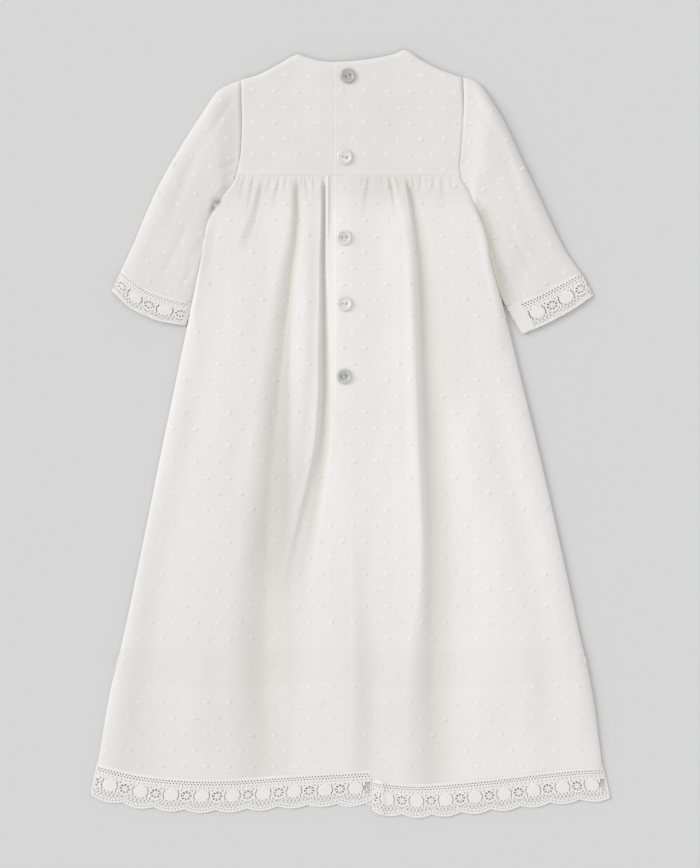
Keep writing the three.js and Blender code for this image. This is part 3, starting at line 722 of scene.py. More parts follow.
def tufts(centres, top, turn=0.0, height=TUFT_HEIGHT, material=tuft_cotton, seed=1):
    """Small fuzzy domes of cut threads on the cloth, at plan centres."""
    draw = np.random.RandomState(seed)
    count = len(centres)
    across, along = np.meshgrid(np.linspace(-1, 1, 9), np.linspace(1, -1, 6))
    rows, cols = across.shape
    reach = np.sqrt(1 - 0.45 * along ** 2) * (1 + draw.uniform(-0.16, 0.16, (count, rows, 1)))
    x = across * reach * TUFT_WIDTH / 2 * draw.uniform(0.86, 1.1, (count, 1, 1))
    y = along * np.sqrt(1 - 0.5 * across ** 2) * TUFT_DEPTH / 2 * draw.uniform(0.86, 1.1, (count, 1, 1))
    dome = np.clip(1 - across ** 4, 0, 1) * np.clip(1 - along ** 4, 0, 1)
    strands = 1 + draw.uniform(-0.3, 0.3, (count, rows, 1)) + draw.uniform(-0.3, 0.3, (count, rows, cols))
    rise = height * (0.1 + 0.9 * dome) * strands * draw.uniform(0.6, 1.25, (count, 1, 1))
    px = centres[:, 0, None, None] + x * math.cos(turn) - y * math.sin(turn)
    py = centres[:, 1, None, None] + x * math.sin(turn) + y * math.cos(turn)
    ground = top(px, py)
    upper = np.stack([px, py, ground + rise], -1)
    lower = np.stack([px, py, ground - 0.05], -1)
    size = rows * cols
    starts = np.arange(count)[:, None, None] * 2 * size
    rim, after = grid_rim(rows, cols)
    side = np.stack([after, after + size, rim + size, rim], -1)
    top_faces = (grid_faces(rows, cols)[None] + starts).reshape(-1, 4)
    side_faces = (side[None] + starts).reshape(-1, 4)
    below = (rim[::-1] + size)[None] + np.arange(count)[:, None] * 2 * size
    points = np.stack([upper.reshape(count, -1, 3), lower.reshape(count, -1, 3)], 1)
    return points.reshape(-1, 3), [top_faces, side_faces, below], material


def lattice(inside, x_range=(-230, 230), y_range=(-300, 330), shift=(3.0, 5.0)):
    """Staggered plan points where the test holds."""
    points = []
    rows = int((y_range[1] - y_range[0]) / TUFT_ROW)
    for row in range(rows + 1):
        y = y_range[0] + row * TUFT_ROW + shift[1]
        stagger = TUFT_STEP / 2 if row % 2 else 0
        xs = np.arange(x_range[0] + shift[0] + stagger, x_range[1], TUFT_STEP)
        points.append(np.stack([xs, np.full_like(xs, y)], -1))
    points = np.vstack(points)
    drift = np.stack([ripple(21, 40, 40)(*points.T), ripple(22, 40, 40)(*points.T)], -1)
    points = points + 1.1 * drift
    return points[inside(points[:, 0], points[:, 1])]


# Skirt

def outer_edge(side, y):
    return skirt_left(y) if side == "left" else skirt_right(y)


def centre_edge(side, y):
    """The edge of a half at the centre back. The left half runs on under the right one."""
    if side == "left":
        return mix(seam_x(y) + SEAM_TUCK, LAP_RIGHT, ease(y, PLACKET_END, PLACKET_END + 90))
    return mix(seam_x(y), LAP_LEFT, ease(y, PLACKET_END - 12, PLACKET_END))


def skirt_plan(side, down, share):
    """Plan points of one half of the back skirt, by distance below the waist and share from the side."""
    level = WAIST - down
    x = mix(outer_edge(side, level), centre_edge(side, level), share)
    bend = ease(down, HEM_BEND, SKIRT_LENGTH)
    return x, level + bend * (hems[side](x) - HEM_LEVEL)


def skirt_half(side):
    in_seam, by_waist = (-SEAM_TUCK, -1.2, -0.6, -0.15, 0.3, 1), np.linspace(2, 60, 50)
    down = np.concatenate([in_seam, by_waist, np.linspace(60, SKIRT_LENGTH, 128)[1:]])
    share = np.linspace(0, 1, 178) ** 1.06
    x, y = skirt_plan(side, down[:, None], share[None])
    top = skirt_tops[side]
    z = top(x, y) - SEAM_DIP * (1 - ease(down[:, None], -0.6, 0.3))
    if side == "left":
        past_seam = ease(x - seam_x(y), 0.6, 1.5)
        z = z - SEAM_DIP * past_seam * ease(-y, -PLACKET_END, 10 - PLACKET_END)
    else:
        free = ease(y, PLACKET_END - 12, PLACKET_END)
        from_edge = x - centre_edge(side, y)
        z = z - LAP_ROLL * free * (1 - round_edge(from_edge, LAP_ROLL_REACH))
        z = z + 0.1 * (1 - free) * (1 - ease(from_edge, 2, 8))
    grid = np.stack([x, y, z], -1)
    if side == "right":
        grid = grid[:, ::-1]
    parts = [shell(grid, CLOTH, cotton_skirt)]

    def on_cloth(px, py):
        centre = centre_edge(side, py)
        from_centre = (centre - px) if side == "left" else (px - centre)
        from_side = np.minimum(px - skirt_left(py), skirt_right(py) - px)
        hidden = (side == "left") & (py > PLACKET_END) & (px > LAP_LEFT - 3)
        in_band = (py < BAND_TOP + 4 + band_drop(px)) & (py > BAND_BOTTOM - 4 + band_drop(px))
        steep = np.abs(top(px + 2.5, py) - top(px - 2.5, py)) > 1.8
        inside = (from_centre > 3.2) & (from_side > 2.5) & (py > hems[side](px) + 3.5) & (py < WAIST - 3)
        return inside & ~hidden & ~in_band & ~steep

    parts.append(tufts(lattice(on_cloth), top, material=skirt_tufts, seed=31 if side == "left" else 32))
    return make(f"{side}_skirt_back", parts, "dotted_cotton", f"skirt_back_{side}", tone=cloth_grey_and_painted_shade)


def band_drop(x):
    """How far the lower skirt's lines follow the curve of the hem."""
    hem = np.where(x < seam_x(-190), hem_left(x), hem_right(x))
    return ease(410, HEM_BEND, SKIRT_LENGTH) * (hem - HEM_LEVEL)


def front_height(x, y):
    """Height of the lower face of the front, which is pressed on the floor."""
    crease = 0.5 * np.clip(np.sin(x / 2.3 + 1.5 * np.sin(x / 9)), 0, 1) * (1 - ease(WAIST - y, 0, 26))
    return FLOOR_GAP + 0.12 * small_lumps(x + 50, y) + np.where(y < WAIST, crease, 0)


def pressed(name, x, y, inside, cad_node):
    """A front panel: a flat shell with its tufts pressed on the floor."""
    grid = np.stack([x, y, front_height(x, y) + CLOTH], -1)
    parts = [shell(grid, CLOTH, cotton)]
    parts.append(tufts(lattice(inside), lambda px, py: np.full_like(px, 0.05), height=0.35, seed=33))
    return make(name, parts, "dotted_cotton", cad_node)


def skirt_front():
    down = np.concatenate([np.linspace(0.3, 30, 22), np.linspace(30, SKIRT_LENGTH, 56)[1:]])[:, None]
    level = WAIST - down
    x = mix(skirt_left(level), skirt_right(level), np.linspace(0, 1, 130)[None])
    y = level + ease(down, HEM_BEND, SKIRT_LENGTH) * (hem_front(x) - HEM_LEVEL)

    def inside(px, py):
        from_side = np.minimum(px - skirt_left(py), skirt_right(py) - px)
        in_band = (py < BAND_TOP + 2) & (py > BAND_BOTTOM - 6)
        return (from_side > 3) & (py > hem_front(px) + 4) & (py < WAIST - 4) & ~in_band

    return pressed("front_skirt", x, y, inside, "skirt_front")


# Yoke

SHOULDER_INSET = 1.4


def yoke_plan(left_edge, right_edge, top, up, across):
    x = mix(left_edge(WAIST), right_edge(WAIST), across) + 0 * up
    for _ in range(4):
        level = mix(WAIST, top(x), up)
        x = mix(left_edge(level), right_edge(level), across)
    return x, mix(WAIST, top(x), up)


def yoke_half(side):
    up = np.linspace(1, 0, 84)[:, None]
    across = np.linspace(0, 1, 92)[None]
    edge = LAP_RIGHT if side == "left" else LAP_LEFT
    if side == "left":
        x, y = yoke_plan(armhole_left, lambda level: edge + 0 * level, back_top, up, across)
    else:
        x, y = yoke_plan(lambda level: edge + 0 * level, armhole_right, back_top, up, across)
    top = yoke_tops[side]
    z = top(x, y)
    if side == "right":
        z = z - LAP_ROLL * (1 - round_edge(x - LAP_LEFT, LAP_ROLL_REACH))
    parts = [shell(np.stack([x, y, z], -1), CLOTH, cotton)]

    def inside(px, py):
        from_edge = (edge - px) if side == "left" else (px - edge)
        hidden = (side == "left") & (px > LAP_LEFT - 3)
        side_gap = np.minimum(px - armhole_left(py), armhole_right(py) - px)
        return (from_edge > 3) & (side_gap > 3) & (py > WAIST + 5) & (py < back_top(px) - 3.5) & ~hidden

    parts.append(tufts(lattice(inside), top, seed=35 if side == "left" else 36))
    return make(f"{side}_yoke_back", parts, "dotted_cotton", f"yoke_back_{side}")


def yoke_front():
    up, across = np.linspace(1, 0, 40)[:, None], np.linspace(0, 1, 80)[None]
    x, y = yoke_plan(armhole_left, armhole_right, lambda x: front_top(x) - SHOULDER_INSET, up, across)

    def inside(px, py):
        side_gap = np.minimum(px - armhole_left(py), armhole_right(py) - px)
        return (side_gap > 4) & (py > WAIST + 4) & (py < front_top(px) - 5)

    return pressed("front_yoke", x, y, inside, "yoke_front")


# Sleeves

def patch(start, end, outer, inner):
    """A plan patch between four curves: u runs from start to end and v from outer to inner."""
    def at(u, v):
        u, v = np.broadcast_arrays(u, v)
        along, across = u[..., None], v[..., None]
        ruled = mix(start(v), end(v), along) + mix(outer(u), inner(u), across)
        zero, one = np.zeros_like(u), np.ones_like(u)
        first, last = (mix(edge(zero), edge(one), across) for edge in (start, end))
        return ruled - mix(first, last, along)

    return at


def armhole_line(side):
    """The sleeve's sewn edge, which is tucked under the edge of the yoke and skirt."""
    yoke_edge = armhole_left if side == "left" else armhole_right
    inward = ARMHOLE_TUCK if side == "left" else -ARMHOLE_TUCK
    top, underarm = SLEEVES[side]["outer"][0][1], SLEEVES[side]["inner"][0][1]

    def at(v):
        y = mix(top, underarm, v)
        edge = np.where(y > WAIST, yoke_edge(y), outer_edge(side, y))
        return np.stack([edge + inward, y], -1)

    return at


def fold_rise(plan, u, v):
    """How a sleeve's upper layer rises from its two side folds, from 0 to 1."""
    edge = np.minimum(v, 1 - v) * plan_width(plan, u)
    return round_edge(edge, np.where(v < 0.5, 12, 4))


def flat_tube(plan, u, steps, top_height):
    """Rings round a flattened tube: over the back from its outer to its inner fold, then under it."""
    half = 0.5 - 0.5 * np.cos(np.linspace(0, np.pi, steps))
    half = mix(np.linspace(0, 1, steps), half, 0.6)
    v = np.concatenate([half, half[-2:0:-1]])[None]
    is_back = np.concatenate([np.ones(steps, bool), np.zeros(steps - 2, bool)])[None]
    u = u[:, None]
    xy = plan(u, v)
    high = SEWN_HEIGHT + (top_height(u, v) - SEWN_HEIGHT) * fold_rise(plan, u, v)
    floor_height = mix(SEWN_HEIGHT - 0.5, FLOOR_GAP, ease(u, 0.012, 0.05))
    from_fold = np.minimum(v, 1 - v) * plan_width(plan, u)
    low = SEWN_HEIGHT - (SEWN_HEIGHT - floor_height) * round_edge(from_fold, 5)
    return np.concatenate([xy, np.where(is_back, high, low)[..., None]], -1)


def plan_width(plan, u):
    """How wide a sleeve lies at shares of its length."""
    return np.linalg.norm(plan(u, np.ones_like(u)) - plan(u, np.zeros_like(u)), axis=-1)


def sleeve_plan(side):
    lines = SLEEVES[side]
    sewn = armhole_line(side)
    outer = curve([sewn(np.array(0.0)), *lines["outer"][1:]])
    inner = curve([sewn(np.array(1.0)), *lines["inner"][1:]])
    return patch(sewn, curve(lines["cuff"]), outer, inner)


# Soft creases of a sleeve, by share of its length and of its width, and the half width of each
SLEEVE_CREASES = table("u0 v0 u1 v1 depth width", [
    (0.02, 0.86, 0.34, 0.70, 1.1, 5.0), (0.03, 0.97, 0.45, 0.88, 1.1, 4.5),
    (0.0, 0.66, 0.24, 0.5, 0.7, 5.0), (0.42, 0.92, 0.85, 0.72, 0.5, 6.0),
    (0.3, 0.2, 0.8, 0.32, 0.5, 7.0), (0.55, 0.55, 0.98, 0.5, 0.5, 6.0),
    (0.04, 0.12, 0.3, 0.22, 0.5, 5.0), (0.7, 0.85, 0.98, 0.8, 0.5, 4.5),
])


def sleeve_height(side):
    lumps = ripple(51 if side == "left" else 52, 20, 26)
    plan = sleeve_plan(side)
    creases = []
    for u0, v0, u1, v1, depth, width in zip(*SLEEVE_CREASES.values()):
        ends = plan(np.array([u0, u1]), np.array([v0, v1]))
        creases.append((ends[0], ends[1], depth, width))

    def at(u, v):
        xy = plan(u, v)
        x, y = xy[..., 0], xy[..., 1]
        height = mix(CAP_HEIGHT, SLEEVE_PUFF, ease(u, 0.02, 0.2))
        height = height - (SLEEVE_PUFF - CUFF_PUFF) * ease(u, 0.6, 1)
        height = height + 1.1 * bump(u - 0.12, 0.12, 0.2) * bump(v - 0.2, 0.3, 0.5)
        height = height + 0.6 * lumps(x, y) + 0.12 * small_lumps(x, y)
        for start, end, depth, width in creases:
            run = end - start
            length = np.hypot(*run)
            t = ((x - start[0]) * run[0] + (y - start[1]) * run[1]) / length ** 2
            aside = ((x - start[0]) * run[1] - (y - start[1]) * run[0]) / length
            fade = np.clip(np.minimum(t / 0.15, (1 - t) / 0.5), 0, 1)
            height = height - depth * ease(fade, 0, 1) * bump(aside, width, width)
        height = SEWN_HEIGHT + (height - SEWN_HEIGHT) * (1 - 0.55 * underarm_pit(x, y))
        sewn = SEWN_HEIGHT + np.where(x < 0, 1.1, 1.1 + 1.5 * bump(y - 255, 50, 40)) * ease(y, 200, 225)
        return mix(sewn, height, round_edge(u - 0.009, 0.018) * (u > 0.009))

    return at


def sleeve_painted_shade(x, y):
    """How grey and warm a sleeve is painted: painted shade most in the underarm hollow, and some beside
    the skirt.
    """
    aside = np.maximum(skirt_left(y) - x, x - skirt_right(y))
    amount, reach = np.where(x < 0, 0.4, 1.15), np.where(x < 0, 6, mix(5, 9, ease(-y, -185, -125)))
    beside = amount * np.exp(-(np.maximum(aside, 0) / reach) ** 1.5) * ease(208 - y, 0, 20)
    return beside + np.where(x < 0, 0.1, 0) + PIT_PAINTED_SHADE * underarm_pit(x, y)


def nearest(points, samples, values):
    """The smallest gap from each point to the samples, and the samples' values blended there."""
    gap = np.empty(len(points))
    value = np.empty(len(points))
    for start in range(0, len(points), 400):
        rows = slice(start, start + 400)
        gaps = ((points[rows, None] - samples[None]) ** 2).sum(-1)
        close = np.argpartition(gaps, 4, axis=1)[:, :4]
        close_gaps = np.take_along_axis(gaps, close, 1)
        weight = 1 / (close_gaps + 0.05)
        gap[rows] = np.sqrt(close_gaps.min(1))
        value[rows] = (values[close] * weight).sum(1) / weight.sum(1)
    return gap, value


def sleeve(side):
    plan = sleeve_plan(side)
    height = sleeve_height(side)
    by_armhole, cap = np.linspace(0, 0.03, 14), np.linspace(0.03, 0.2, 26)[1:]
    u = np.concatenate([by_armhole, cap, np.linspace(0.2, 1, 78)[1:]])
    grid = flat_tube(plan, u, 62, height)
    if side == "right":
        grid = grid[:, ::-1]
    parts = [tube_shell(grid, SLEEVE_CLOTH, cotton_sleeve[side])]

    u, v = np.meshgrid(np.linspace(0.045, 0.965, 90), np.linspace(0.07, 0.93, 70), indexing="ij")
    samples = plan(u, v).reshape(-1, 2)
    heights = (SEWN_HEIGHT + (height(u, v) - SEWN_HEIGHT) * fold_rise(plan, u, v)).reshape(-1)
    cos, sin = math.cos(SLEEVE_LEAN[side]), math.sin(SLEEVE_LEAN[side])
    reach = (-340, 340)
    everywhere = lattice(lambda x, y: np.full(x.shape, True), reach, reach)
    spots = everywhere @ np.array([[cos, sin], [-sin, cos]])
    spots = spots[nearest(spots, samples, heights)[0] < 1.4]

    def top(x, y):
        return nearest(np.stack([x.reshape(-1), y.reshape(-1)], -1), samples, heights)[1].reshape(x.shape)

    parts.append(tufts(spots, top, turn=SLEEVE_LEAN[side], seed=37))
    parts.append(tufts(spots, lambda x, y: 0 * x + 0.05, turn=SLEEVE_LEAN[side], height=0.3, seed=38))
    return make(f"{side}_sleeve", parts, "dotted_cotton", f"sleeve_{side}", tone=sleeve_painted_shade)


# Lace

THREAD = 0.5
CORD = 0.9
LACE_LIFT = 0.2
LACE_SPLIT = 0.4
LACE_CLOTH = 0.1
INSERTION_CLOTH = 0.12
INSERTION_CORDS = (2.6, 4.4, 11.0, 20.0, 26.6, 28.4)
BAR_ROWS = ((4.8, 10.6), (20.4, 26.2))


def ellipse(cx, cy, rx, ry, steps, start=0.0):
    angle = start + np.linspace(0, 2 * np.pi, steps, endpoint=False)
    return np.stack([cx + rx * np.cos(angle), cy + ry * np.sin(angle)], -1)


def segment(a, b, steps=3):
    return mix(np.array(a, float), np.array(b, float), np.linspace(0, 1, steps)[:, None])


DISC = {"x": LACE_REPEAT / 2, "d": 15.0, "rx": 6.1, "ry": 5.4}
SPIDER = {"x": 0.0, "d": 15.0, "rx": 5.2, "ry": 4.9, "knot": 1.2, "spokes": 8}
NET_TOP = 2.2
NET_MIDDLE = 4.3
NET_BOTTOM = 6.4
ROW_BOTTOM = 9.4
CORNER_BARS = table("aside start end width", [
    (0.8, ROW_BOTTOM, 13, 1.0), (0.8, 17, 20.4, 1.0),
    (-1.5, ROW_BOTTOM, 11.6, 0.9), (-1.5, 18.4, 20.6, 0.9),
])
LACE_ROWS = table("depth width", [
    (0.4, 0.8), (1.5, 0.8), (NET_TOP, 0.6), (NET_MIDDLE, 0.5), (NET_BOTTOM, 0.68), (ROW_BOTTOM, 0.68),
])
NET_COLUMNS = 10
ROW_COLUMNS = 7
FAN_THREADS = 8
FAN_TOP = 19.4
EDGE_BARS = 10
EDGE_ROW = 2.4
LACE_EDGE_HEIGHT = 1.2
FRONT_LACE_HEIGHT = 0.45
CUFF_REPEATS = 5
CUFF_PHASE = 0.25
BAND_BARS = 88
BAND_EYELETS = 28


def scallop_depth(u):
    return LACE_DEPTH + SCALLOP * np.abs(np.sin(np.pi * u / LACE_REPEAT)) - 0.7


def lace_motif():
    """Threads of one repeat, in millimetres along and down the lace: open ones and closed loops."""
    open_threads = []
    loops = []
    whole = np.linspace(0, LACE_REPEAT, 15)

    def along(depth, width):
        open_threads.append((np.stack([whole, depth + 0 * whole], -1), width))

    for depth, width in zip(*LACE_ROWS.values()):
        along(depth, width)
    for row, (start, end) in enumerate(((NET_TOP, NET_MIDDLE), (NET_MIDDLE, NET_BOTTOM))):
        for i in range(NET_COLUMNS):
            x = (i + 0.5 * row + 0.25) * LACE_REPEAT / NET_COLUMNS
            open_threads.append((segment((x, start), (x, end)), 0.78))
    for i in range(ROW_COLUMNS):
        x = (i + 0.5) * LACE_REPEAT / ROW_COLUMNS
        open_threads.append((segment((x, NET_BOTTOM), (x, ROW_BOTTOM)), 0.9))
    centre = np.array([SPIDER["x"], SPIDER["d"]])
    reach = np.array([SPIDER["rx"], SPIDER["ry"]])
    loops.append((ellipse(*centre, *reach, 22), 0.9))
    loops.append((ellipse(*centre, SPIDER["knot"], SPIDER["knot"], 10), 0.85))
    for i in range(SPIDER["spokes"]):
        angle = 2 * np.pi * (i + 0.5) / SPIDER["spokes"]
        spoke = np.array([np.cos(angle), np.sin(angle)])
        open_threads.append((segment(centre + spoke * SPIDER["knot"], centre + spoke * reach), 0.56))
    # Short bars fill the corners between the discs and the spiders
    for way in (-1, 1):
        for aside, start, end, width in zip(*CORNER_BARS.values()):
            x = DISC["x"] + way * (DISC["rx"] + aside)
            open_threads.append((segment((x, start), (x, end)), width))
    # Slanted threads cross between the discs and the scalloped edge
    spread = np.linspace(-1, 1, FAN_THREADS)
    feet_x = DISC["x"] + spread * (LACE_REPEAT / 2 - 0.8)
    heads_x = DISC["x"] + spread * (LACE_REPEAT / 2 - 2.5)
    aside = np.clip(np.abs(heads_x - DISC["x"]) / (DISC["rx"] + 1.5), 0, 1)
    heads_d = DISC["d"] + mix(DISC["ry"] - 0.4, SPIDER["ry"] + 0.2, ease(aside, 0.6, 1))
    for i in range(FAN_THREADS):
        for j in (i - 1, i + 1):
            if 0 <= j < FAN_THREADS:
                foot = (feet_x[j], scallop_depth(feet_x[j]) - EDGE_ROW)
                open_threads.append((segment((heads_x[i], heads_d[i]), foot), THREAD))
    for i in range(EDGE_BARS):
        x = (i + 0.5) * LACE_REPEAT / EDGE_BARS
        open_threads.append((segment((x, scallop_depth(x) - EDGE_ROW), (x, scallop_depth(x)), 2), 0.75))
    along(scallop_depth(whole) - EDGE_ROW, 0.6)
    return open_threads, loops


def lace_strip(place, repeats, closed=False):
    """Lace laid out by place, which maps repeats along and millimetres down to x, y and z.
    A closed strip goes all round, as at a cuff."""
    open_threads, loops = lace_motif()
    parts = []
    offsets = np.arange(math.ceil(repeats))[:, None]

    def laid(path, width, is_loop):
        along = path[None, :, 0] / LACE_REPEAT + offsets
        if not closed:
            along = along[(along.min(1) > -0.21) & (along.max(1) < repeats + 0.21)]
            along = np.clip(along, 0, repeats)
        if len(along):
            down = np.broadcast_to(path[None, :, 1], along.shape)
            parts.append(threads(place(along, down), width, LACE_LIFT, lace_cotton, is_loop))

    for path, width in open_threads:
        laid(path, width, False)
    for path, width in loops:
        laid(path, width, True)
    edge = np.linspace(0, repeats, int(16 * repeats) + 1, endpoint=not closed)
    foot = scallop_depth(edge * LACE_REPEAT)
    parts.append(threads(place(edge, foot)[None], CORD, 0.3, lace_cotton, closed))
    # Close-woven ground under the heading, the row of bars and the fans
    share = np.linspace(0, 1, 5)[:, None]
    for start, end, drop in ((0, NET_TOP, 0.1), (NET_BOTTOM, ROW_BOTTOM, 0.3), (FAN_TOP, foot, 0.9)):
        sheet = place(edge + 0 * share, mix(start, end + 0 * edge, share))
        sheet[..., 2] = np.maximum(sheet[..., 2] - drop, 0.15)
        if closed:
            parts.append(tube_shell(sheet[:, ::-1], LACE_CLOTH, lace_cotton))
        else:
            parts.append(shell(sheet, LACE_CLOTH, lace_cotton))
    if not closed:
        for end in (0.0, repeats):
            down = np.linspace(0, scallop_depth(end * LACE_REPEAT), 12)
            parts.append(threads(place(end + 0 * down, down)[None], 0.6, LACE_LIFT, lace_cotton))
    for repeat in range(math.ceil(repeats)):
        if closed or repeat + 0.5 < repeats:
            parts.append(disc(place, repeat))
    return parts


def disc(place, repeat):
    """A close-woven oval of the lace."""
    turns = np.linspace(0, 2 * np.pi, 26, endpoint=False)[None]
    rings = np.array([0.02, 0.35, 0.68, 0.9, 1.0])[:, None]
    along = repeat + (DISC["x"] + rings * DISC["rx"] * np.cos(turns)) / LACE_REPEAT
    down = DISC["d"] + rings * DISC["ry"] * np.sin(turns)
    grid = place(along, down)
    grid[..., 2] += 0.05 + 0.2 * np.sqrt(1 - 0.9 * rings ** 2)
    return tube_shell(grid[:, ::-1], 0.35, lace_cotton)


CUFF_JOINTS = {"left": np.linspace(0.47, 0.499, 4), "right": np.linspace(0.41, 0.499, 10)}


def hem_place(hem, start, end, flares, level):
    """Maps lace of the hem to its place: level gives the height of the cloth's edge."""
    repeats = round((end - start) / LACE_REPEAT)

    def at(along, down):
        share = along / repeats
        x = mix(start, end, share)
        z = mix(level(x), LACE_EDGE_HEIGHT, np.clip(down / LACE_DEPTH, 0, 1))
        return np.stack([x + mix(*flares, share) * down / LACE_DEPTH, hem(x) - 0.2 - down, z + 0 * x], -1)

    return at, repeats


def hem_lace_back(side):
    hem, top = hems[side], skirt_tops[side]
    inner = seam_x(hem(seam_x(HEM_LEVEL)))
    if side == "left":
        start, end, flares = skirt_left(HEM_LEVEL), inner - LACE_SPLIT, (FLARE["left"], 0)
    else:
        start, end, flares = inner + LACE_SPLIT, skirt_right(HEM_LEVEL), (0, FLARE["right"])
    flat, repeats = hem_place(hem, start, end, flares, lambda x: top(x, hem(x) + 1) - 0.3)

    def place(along, down):
        points = flat(along, down)
        # The lace is doubled up a little where its two ends meet
        points[..., 2] += 1.1 * bump(points[..., 0] - inner - 8, 6, 5) * (1 if side == "right" else 0)
        return points

    return make(f"{side}_hem_lace", lace_strip(place, repeats), "lace", f"hem_lace_back_{side}")


def hem_lace_front():
    start, end, flares = skirt_left(HEM_LEVEL), skirt_right(HEM_LEVEL), (FLARE["left"], FLARE["right"])
    place, repeats = hem_place(hem_front, start, end, flares, lambda x: 0 * x)

    def flat(along, down):
        points = place(along, down)
        points[..., 2] = FRONT_LACE_HEIGHT
        return points

    return make("front_hem_lace", lace_strip(flat, repeats), "lace", "hem_lace_front")


def cuff_lace(side):
    """Lace all round the cuff, over the sleeve's back and on round its folds under the front."""
    cuff, edge_line = SLEEVES[side]["cuff"], SLEEVES[side]["lace_edge"]
    outer, inner = (curve([cuff[end], edge_line[end]]) for end in (0, -1))
    flat = patch(curve(cuff), curve(edge_line), outer, inner)
    width = np.hypot(*(np.array(cuff[0]) - cuff[-1]))

    def place(along, down):
        turn = (along + CUFF_PHASE) / CUFF_REPEATS % 1
        v = 1 - np.abs(1 - 2 * turn)
        u = down / LACE_DEPTH
        edge = np.minimum(v, 1 - v) * width
        high = SEWN_HEIGHT + (CUFF_PUFF - SEWN_HEIGHT - 1.6 * np.clip(u, 0, 1)) * round_edge(edge, 9)
        low = SEWN_HEIGHT - (SEWN_HEIGHT - 0.5) * round_edge(edge, 5)
        return np.concatenate([flat(u, v), np.where(turn < 0.5, high, low)[..., None]], -1)

    parts = lace_strip(place, CUFF_REPEATS, closed=True)
    # The two ends of the lace are sewn over each other at the inner fold
    turns, down = np.meshgrid(CUFF_JOINTS[side], np.linspace(0.4, LACE_DEPTH - 0.6, 12))
    joint = place(turns * CUFF_REPEATS - CUFF_PHASE, down)
    joint[..., 2] += 0.3
    parts.append(shell(joint if side == "left" else joint[:, ::-1], LACE_CLOTH, lace_cotton))
    return make(f"{side}_cuff_lace", parts, "lace", f"cuff_lace_{side}", tone=sleeve_painted_shade)


def insertion(side):
    """A strip of close drawn-thread lace across the skirt, with eyelets along its middle."""
    top = skirt_tops[side]
    first, band = WAIST - BAND_TOP, BAND_TOP - BAND_BOTTOM

    def place(share, depth, lift):
        x, y = skirt_plan(side, first + depth, share)
        return np.stack([x, y, top(x, y) + lift], -1)

    run = np.linspace(0.004, 0.9985, 150)[None]
    depth = np.linspace(0.2, band - 0.2, 18)[:, None]
    ground = place(run, depth, 0.05 + 0.13 * round_edge(np.minimum(depth, band - depth), 3.5))
    if side == "right":
        ground = ground[:, ::-1]
    sheet = shell(ground, INSERTION_CLOTH, insertion_cotton)
    cloth = make(f"{side}_insertion", [sheet], "lace", f"insertion_{side}", tone=cloth_grey_and_painted_shade)
    parts = []

    def raised(share, depth, width, height, closed=False):
        share, depth = np.broadcast_arrays(share, depth)
        parts.append(threads(place(share, depth, 0.16), width, height, insertion_cotton, closed))

    for depth in INSERTION_CORDS:
        raised(run, np.array([[depth]]), 0.6, 0.11)
    bars = (np.arange(BAND_BARS) + 0.5)[:, None] / BAND_BARS
    for start, end in BAR_ROWS:
        raised(bars, np.linspace(start, end, 5)[None], 0.55, 0.12)
    eyelets = (np.arange(BAND_EYELETS) + 0.5)[:, None] / BAND_EYELETS
    turn = np.linspace(0, 2 * np.pi, 16, endpoint=False)[None]
    raised(eyelets + 2.0 * np.cos(turn) / 200, band / 2 + 2.9 * np.sin(turn), 0.8, 0.14, True)
    ties = np.arange(BAND_EYELETS)[:, None] / BAND_EYELETS + 0.001
    raised(ties, np.linspace(11.6, 19.4, 5)[None], 0.9, 0.1)
    return cloth, make(f"{side}_insertion_relief", parts, "lace", tone=cloth_grey_and_painted_shade)


# Buttons

BUTTON_RADIUS = 6.5
BUTTON_PROFILE = table("r z", [
    (0, 1.32), (2.6, 1.36), (3.9, 1.46), (4.6, 1.8), (5.3, 1.98), (6.0, 1.78), (6.42, 1.3),
    (BUTTON_RADIUS, 0.9),
])
RIM_START = 4.2
HOLE_OFFSET = 1.6
HOLE_RADIUS = 1.05
HOLE_DEPTH = 1.15


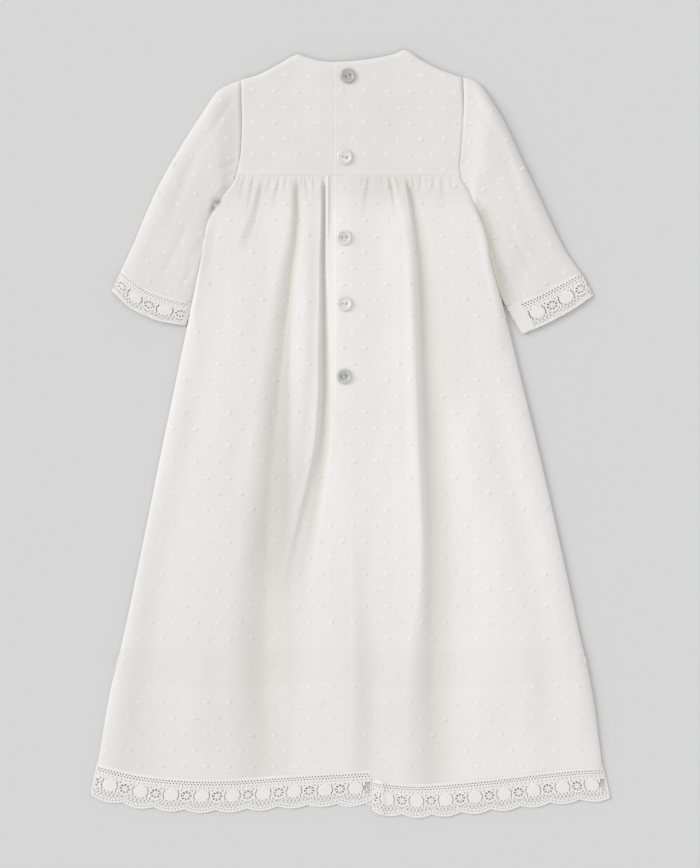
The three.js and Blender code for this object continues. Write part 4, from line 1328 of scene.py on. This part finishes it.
def button(number, x, y, turn, face, rim):
    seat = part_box(f"button_{number}")[0][2] / MM
    ground = (yoke_tops if y > WAIST else skirt_tops)["right"](np.array([x]), np.array([y]))[0]
    base = max(seat, ground + 0.15)
    angles = np.linspace(0, 2 * np.pi, 64, endpoint=False)[None]
    cos, sin = math.cos(math.radians(turn)), math.sin(math.radians(turn))

    def placed(points):
        return points @ np.array([[cos, sin, 0], [-sin, cos, 0], [0, 0, 1]]) + (x, y, base)

    def rings(radii, height):
        return np.stack([radii * np.cos(angles), radii * np.sin(angles), height + 0 * radii * angles], -1)

    inner = np.linspace(0.05, RIM_START, 30)[:, None]
    outer = np.linspace(RIM_START, BUTTON_RADIUS, 16)[:, None]
    profile = smooth(BUTTON_PROFILE["r"], BUTTON_PROFILE["z"])
    middle = rings(inner, profile(inner))
    for way in (-1, 1):
        gap = np.hypot(middle[..., 0] - way * HOLE_OFFSET, middle[..., 1])
        middle[..., 2] -= HOLE_DEPTH * (1 - ease(gap, HOLE_RADIUS * 0.85, HOLE_RADIUS * 1.15))
    edge = np.concatenate([rings(outer, profile(outer)), rings(np.array([[6.3], [3.0], [0.05]]), 0.12)])
    cols = angles.size
    cap = np.arange(cols)
    faces = [grid_faces(len(middle), cols, wrap=True), cap[None, ::-1]]
    parts = [(placed(middle.reshape(-1, 3)), faces, pearl(f"pearl face {number}", face))]
    faces = [grid_faces(len(edge), cols, wrap=True), (cap + (len(edge) - 1) * cols)[None]]
    parts.append((placed(edge.reshape(-1, 3)), faces, pearl(f"pearl rim {number}", rim)))
    span = np.linspace(-1, 1, 9)
    strands = []
    for aside in (-0.25, 0.25):
        arc = np.stack([span * (HOLE_OFFSET - 0.5), aside + 0 * span, 1.5 - 0.9 * span ** 6], -1)
        strands.append(placed(arc))
    parts.append(threads(strands, 0.2, 0.15, sewing_thread))
    return make(f"pearl_button_{number}", parts, "button", f"button_{number}")


# Camera, floor and light

VIEW_HEIGHT = 3.0
VIEW_CENTRE = (-0.85, 1.3)
FRAME_HEIGHT = 868 * 0.85 * MM
SENSOR = 24.0


def camera():
    data = bpy.data.cameras.new("camera")
    data.sensor_fit = "VERTICAL"
    data.sensor_height = SENSOR
    data.lens = SENSOR * VIEW_HEIGHT / FRAME_HEIGHT
    made = add_object("camera", data)
    made.location = (*(value * MM for value in VIEW_CENTRE), VIEW_HEIGHT)
    bpy.context.scene.camera = made


def floor():
    mesh = bpy.data.meshes.new("floor")
    reach = 6.0
    corners = [(-reach, -reach, 0), (reach, -reach, 0), (reach, reach, 0), (-reach, reach, 0)]
    mesh.from_pydata(corners, [], [(0, 1, 2, 3)])
    mesh.materials.append(plain("floor", (0.714, 0.714, 0.714), 0.95))
    add_object("floor", mesh)


def lights():
    world = bpy.data.worlds.new("world")
    world.use_nodes = True
    world.node_tree.nodes["Background"].inputs["Color"].default_value = (1, 1, 1, 1)
    world.node_tree.nodes["Background"].inputs["Strength"].default_value = 0.755
    bpy.context.scene.world = world
    sun = bpy.data.lights.new("soft window", "SUN")
    sun.energy = 1.25
    sun.angle = math.radians(32)
    # The light comes low from the left and a little from the neck
    add_object("soft window", sun).rotation_euler = (0, math.radians(-62), math.radians(-22))
    bpy.context.scene.view_settings.view_transform = "Standard"


camera()
floor()
lights()
pieces = {"front_skirt": skirt_front(), "front_yoke": yoke_front(), "front_hem_lace": hem_lace_front()}
for side in ("left", "right"):
    for made in (skirt_half(side), yoke_half(side), sleeve(side), hem_lace_back(side), cuff_lace(side)):
        pieces[made.name] = made
    pieces[f"{side}_insertion"], pieces[f"{side}_insertion_relief"] = insertion(side)
for number, row in enumerate(zip(*BUTTONS.values()), 1):
    button(number, *row)
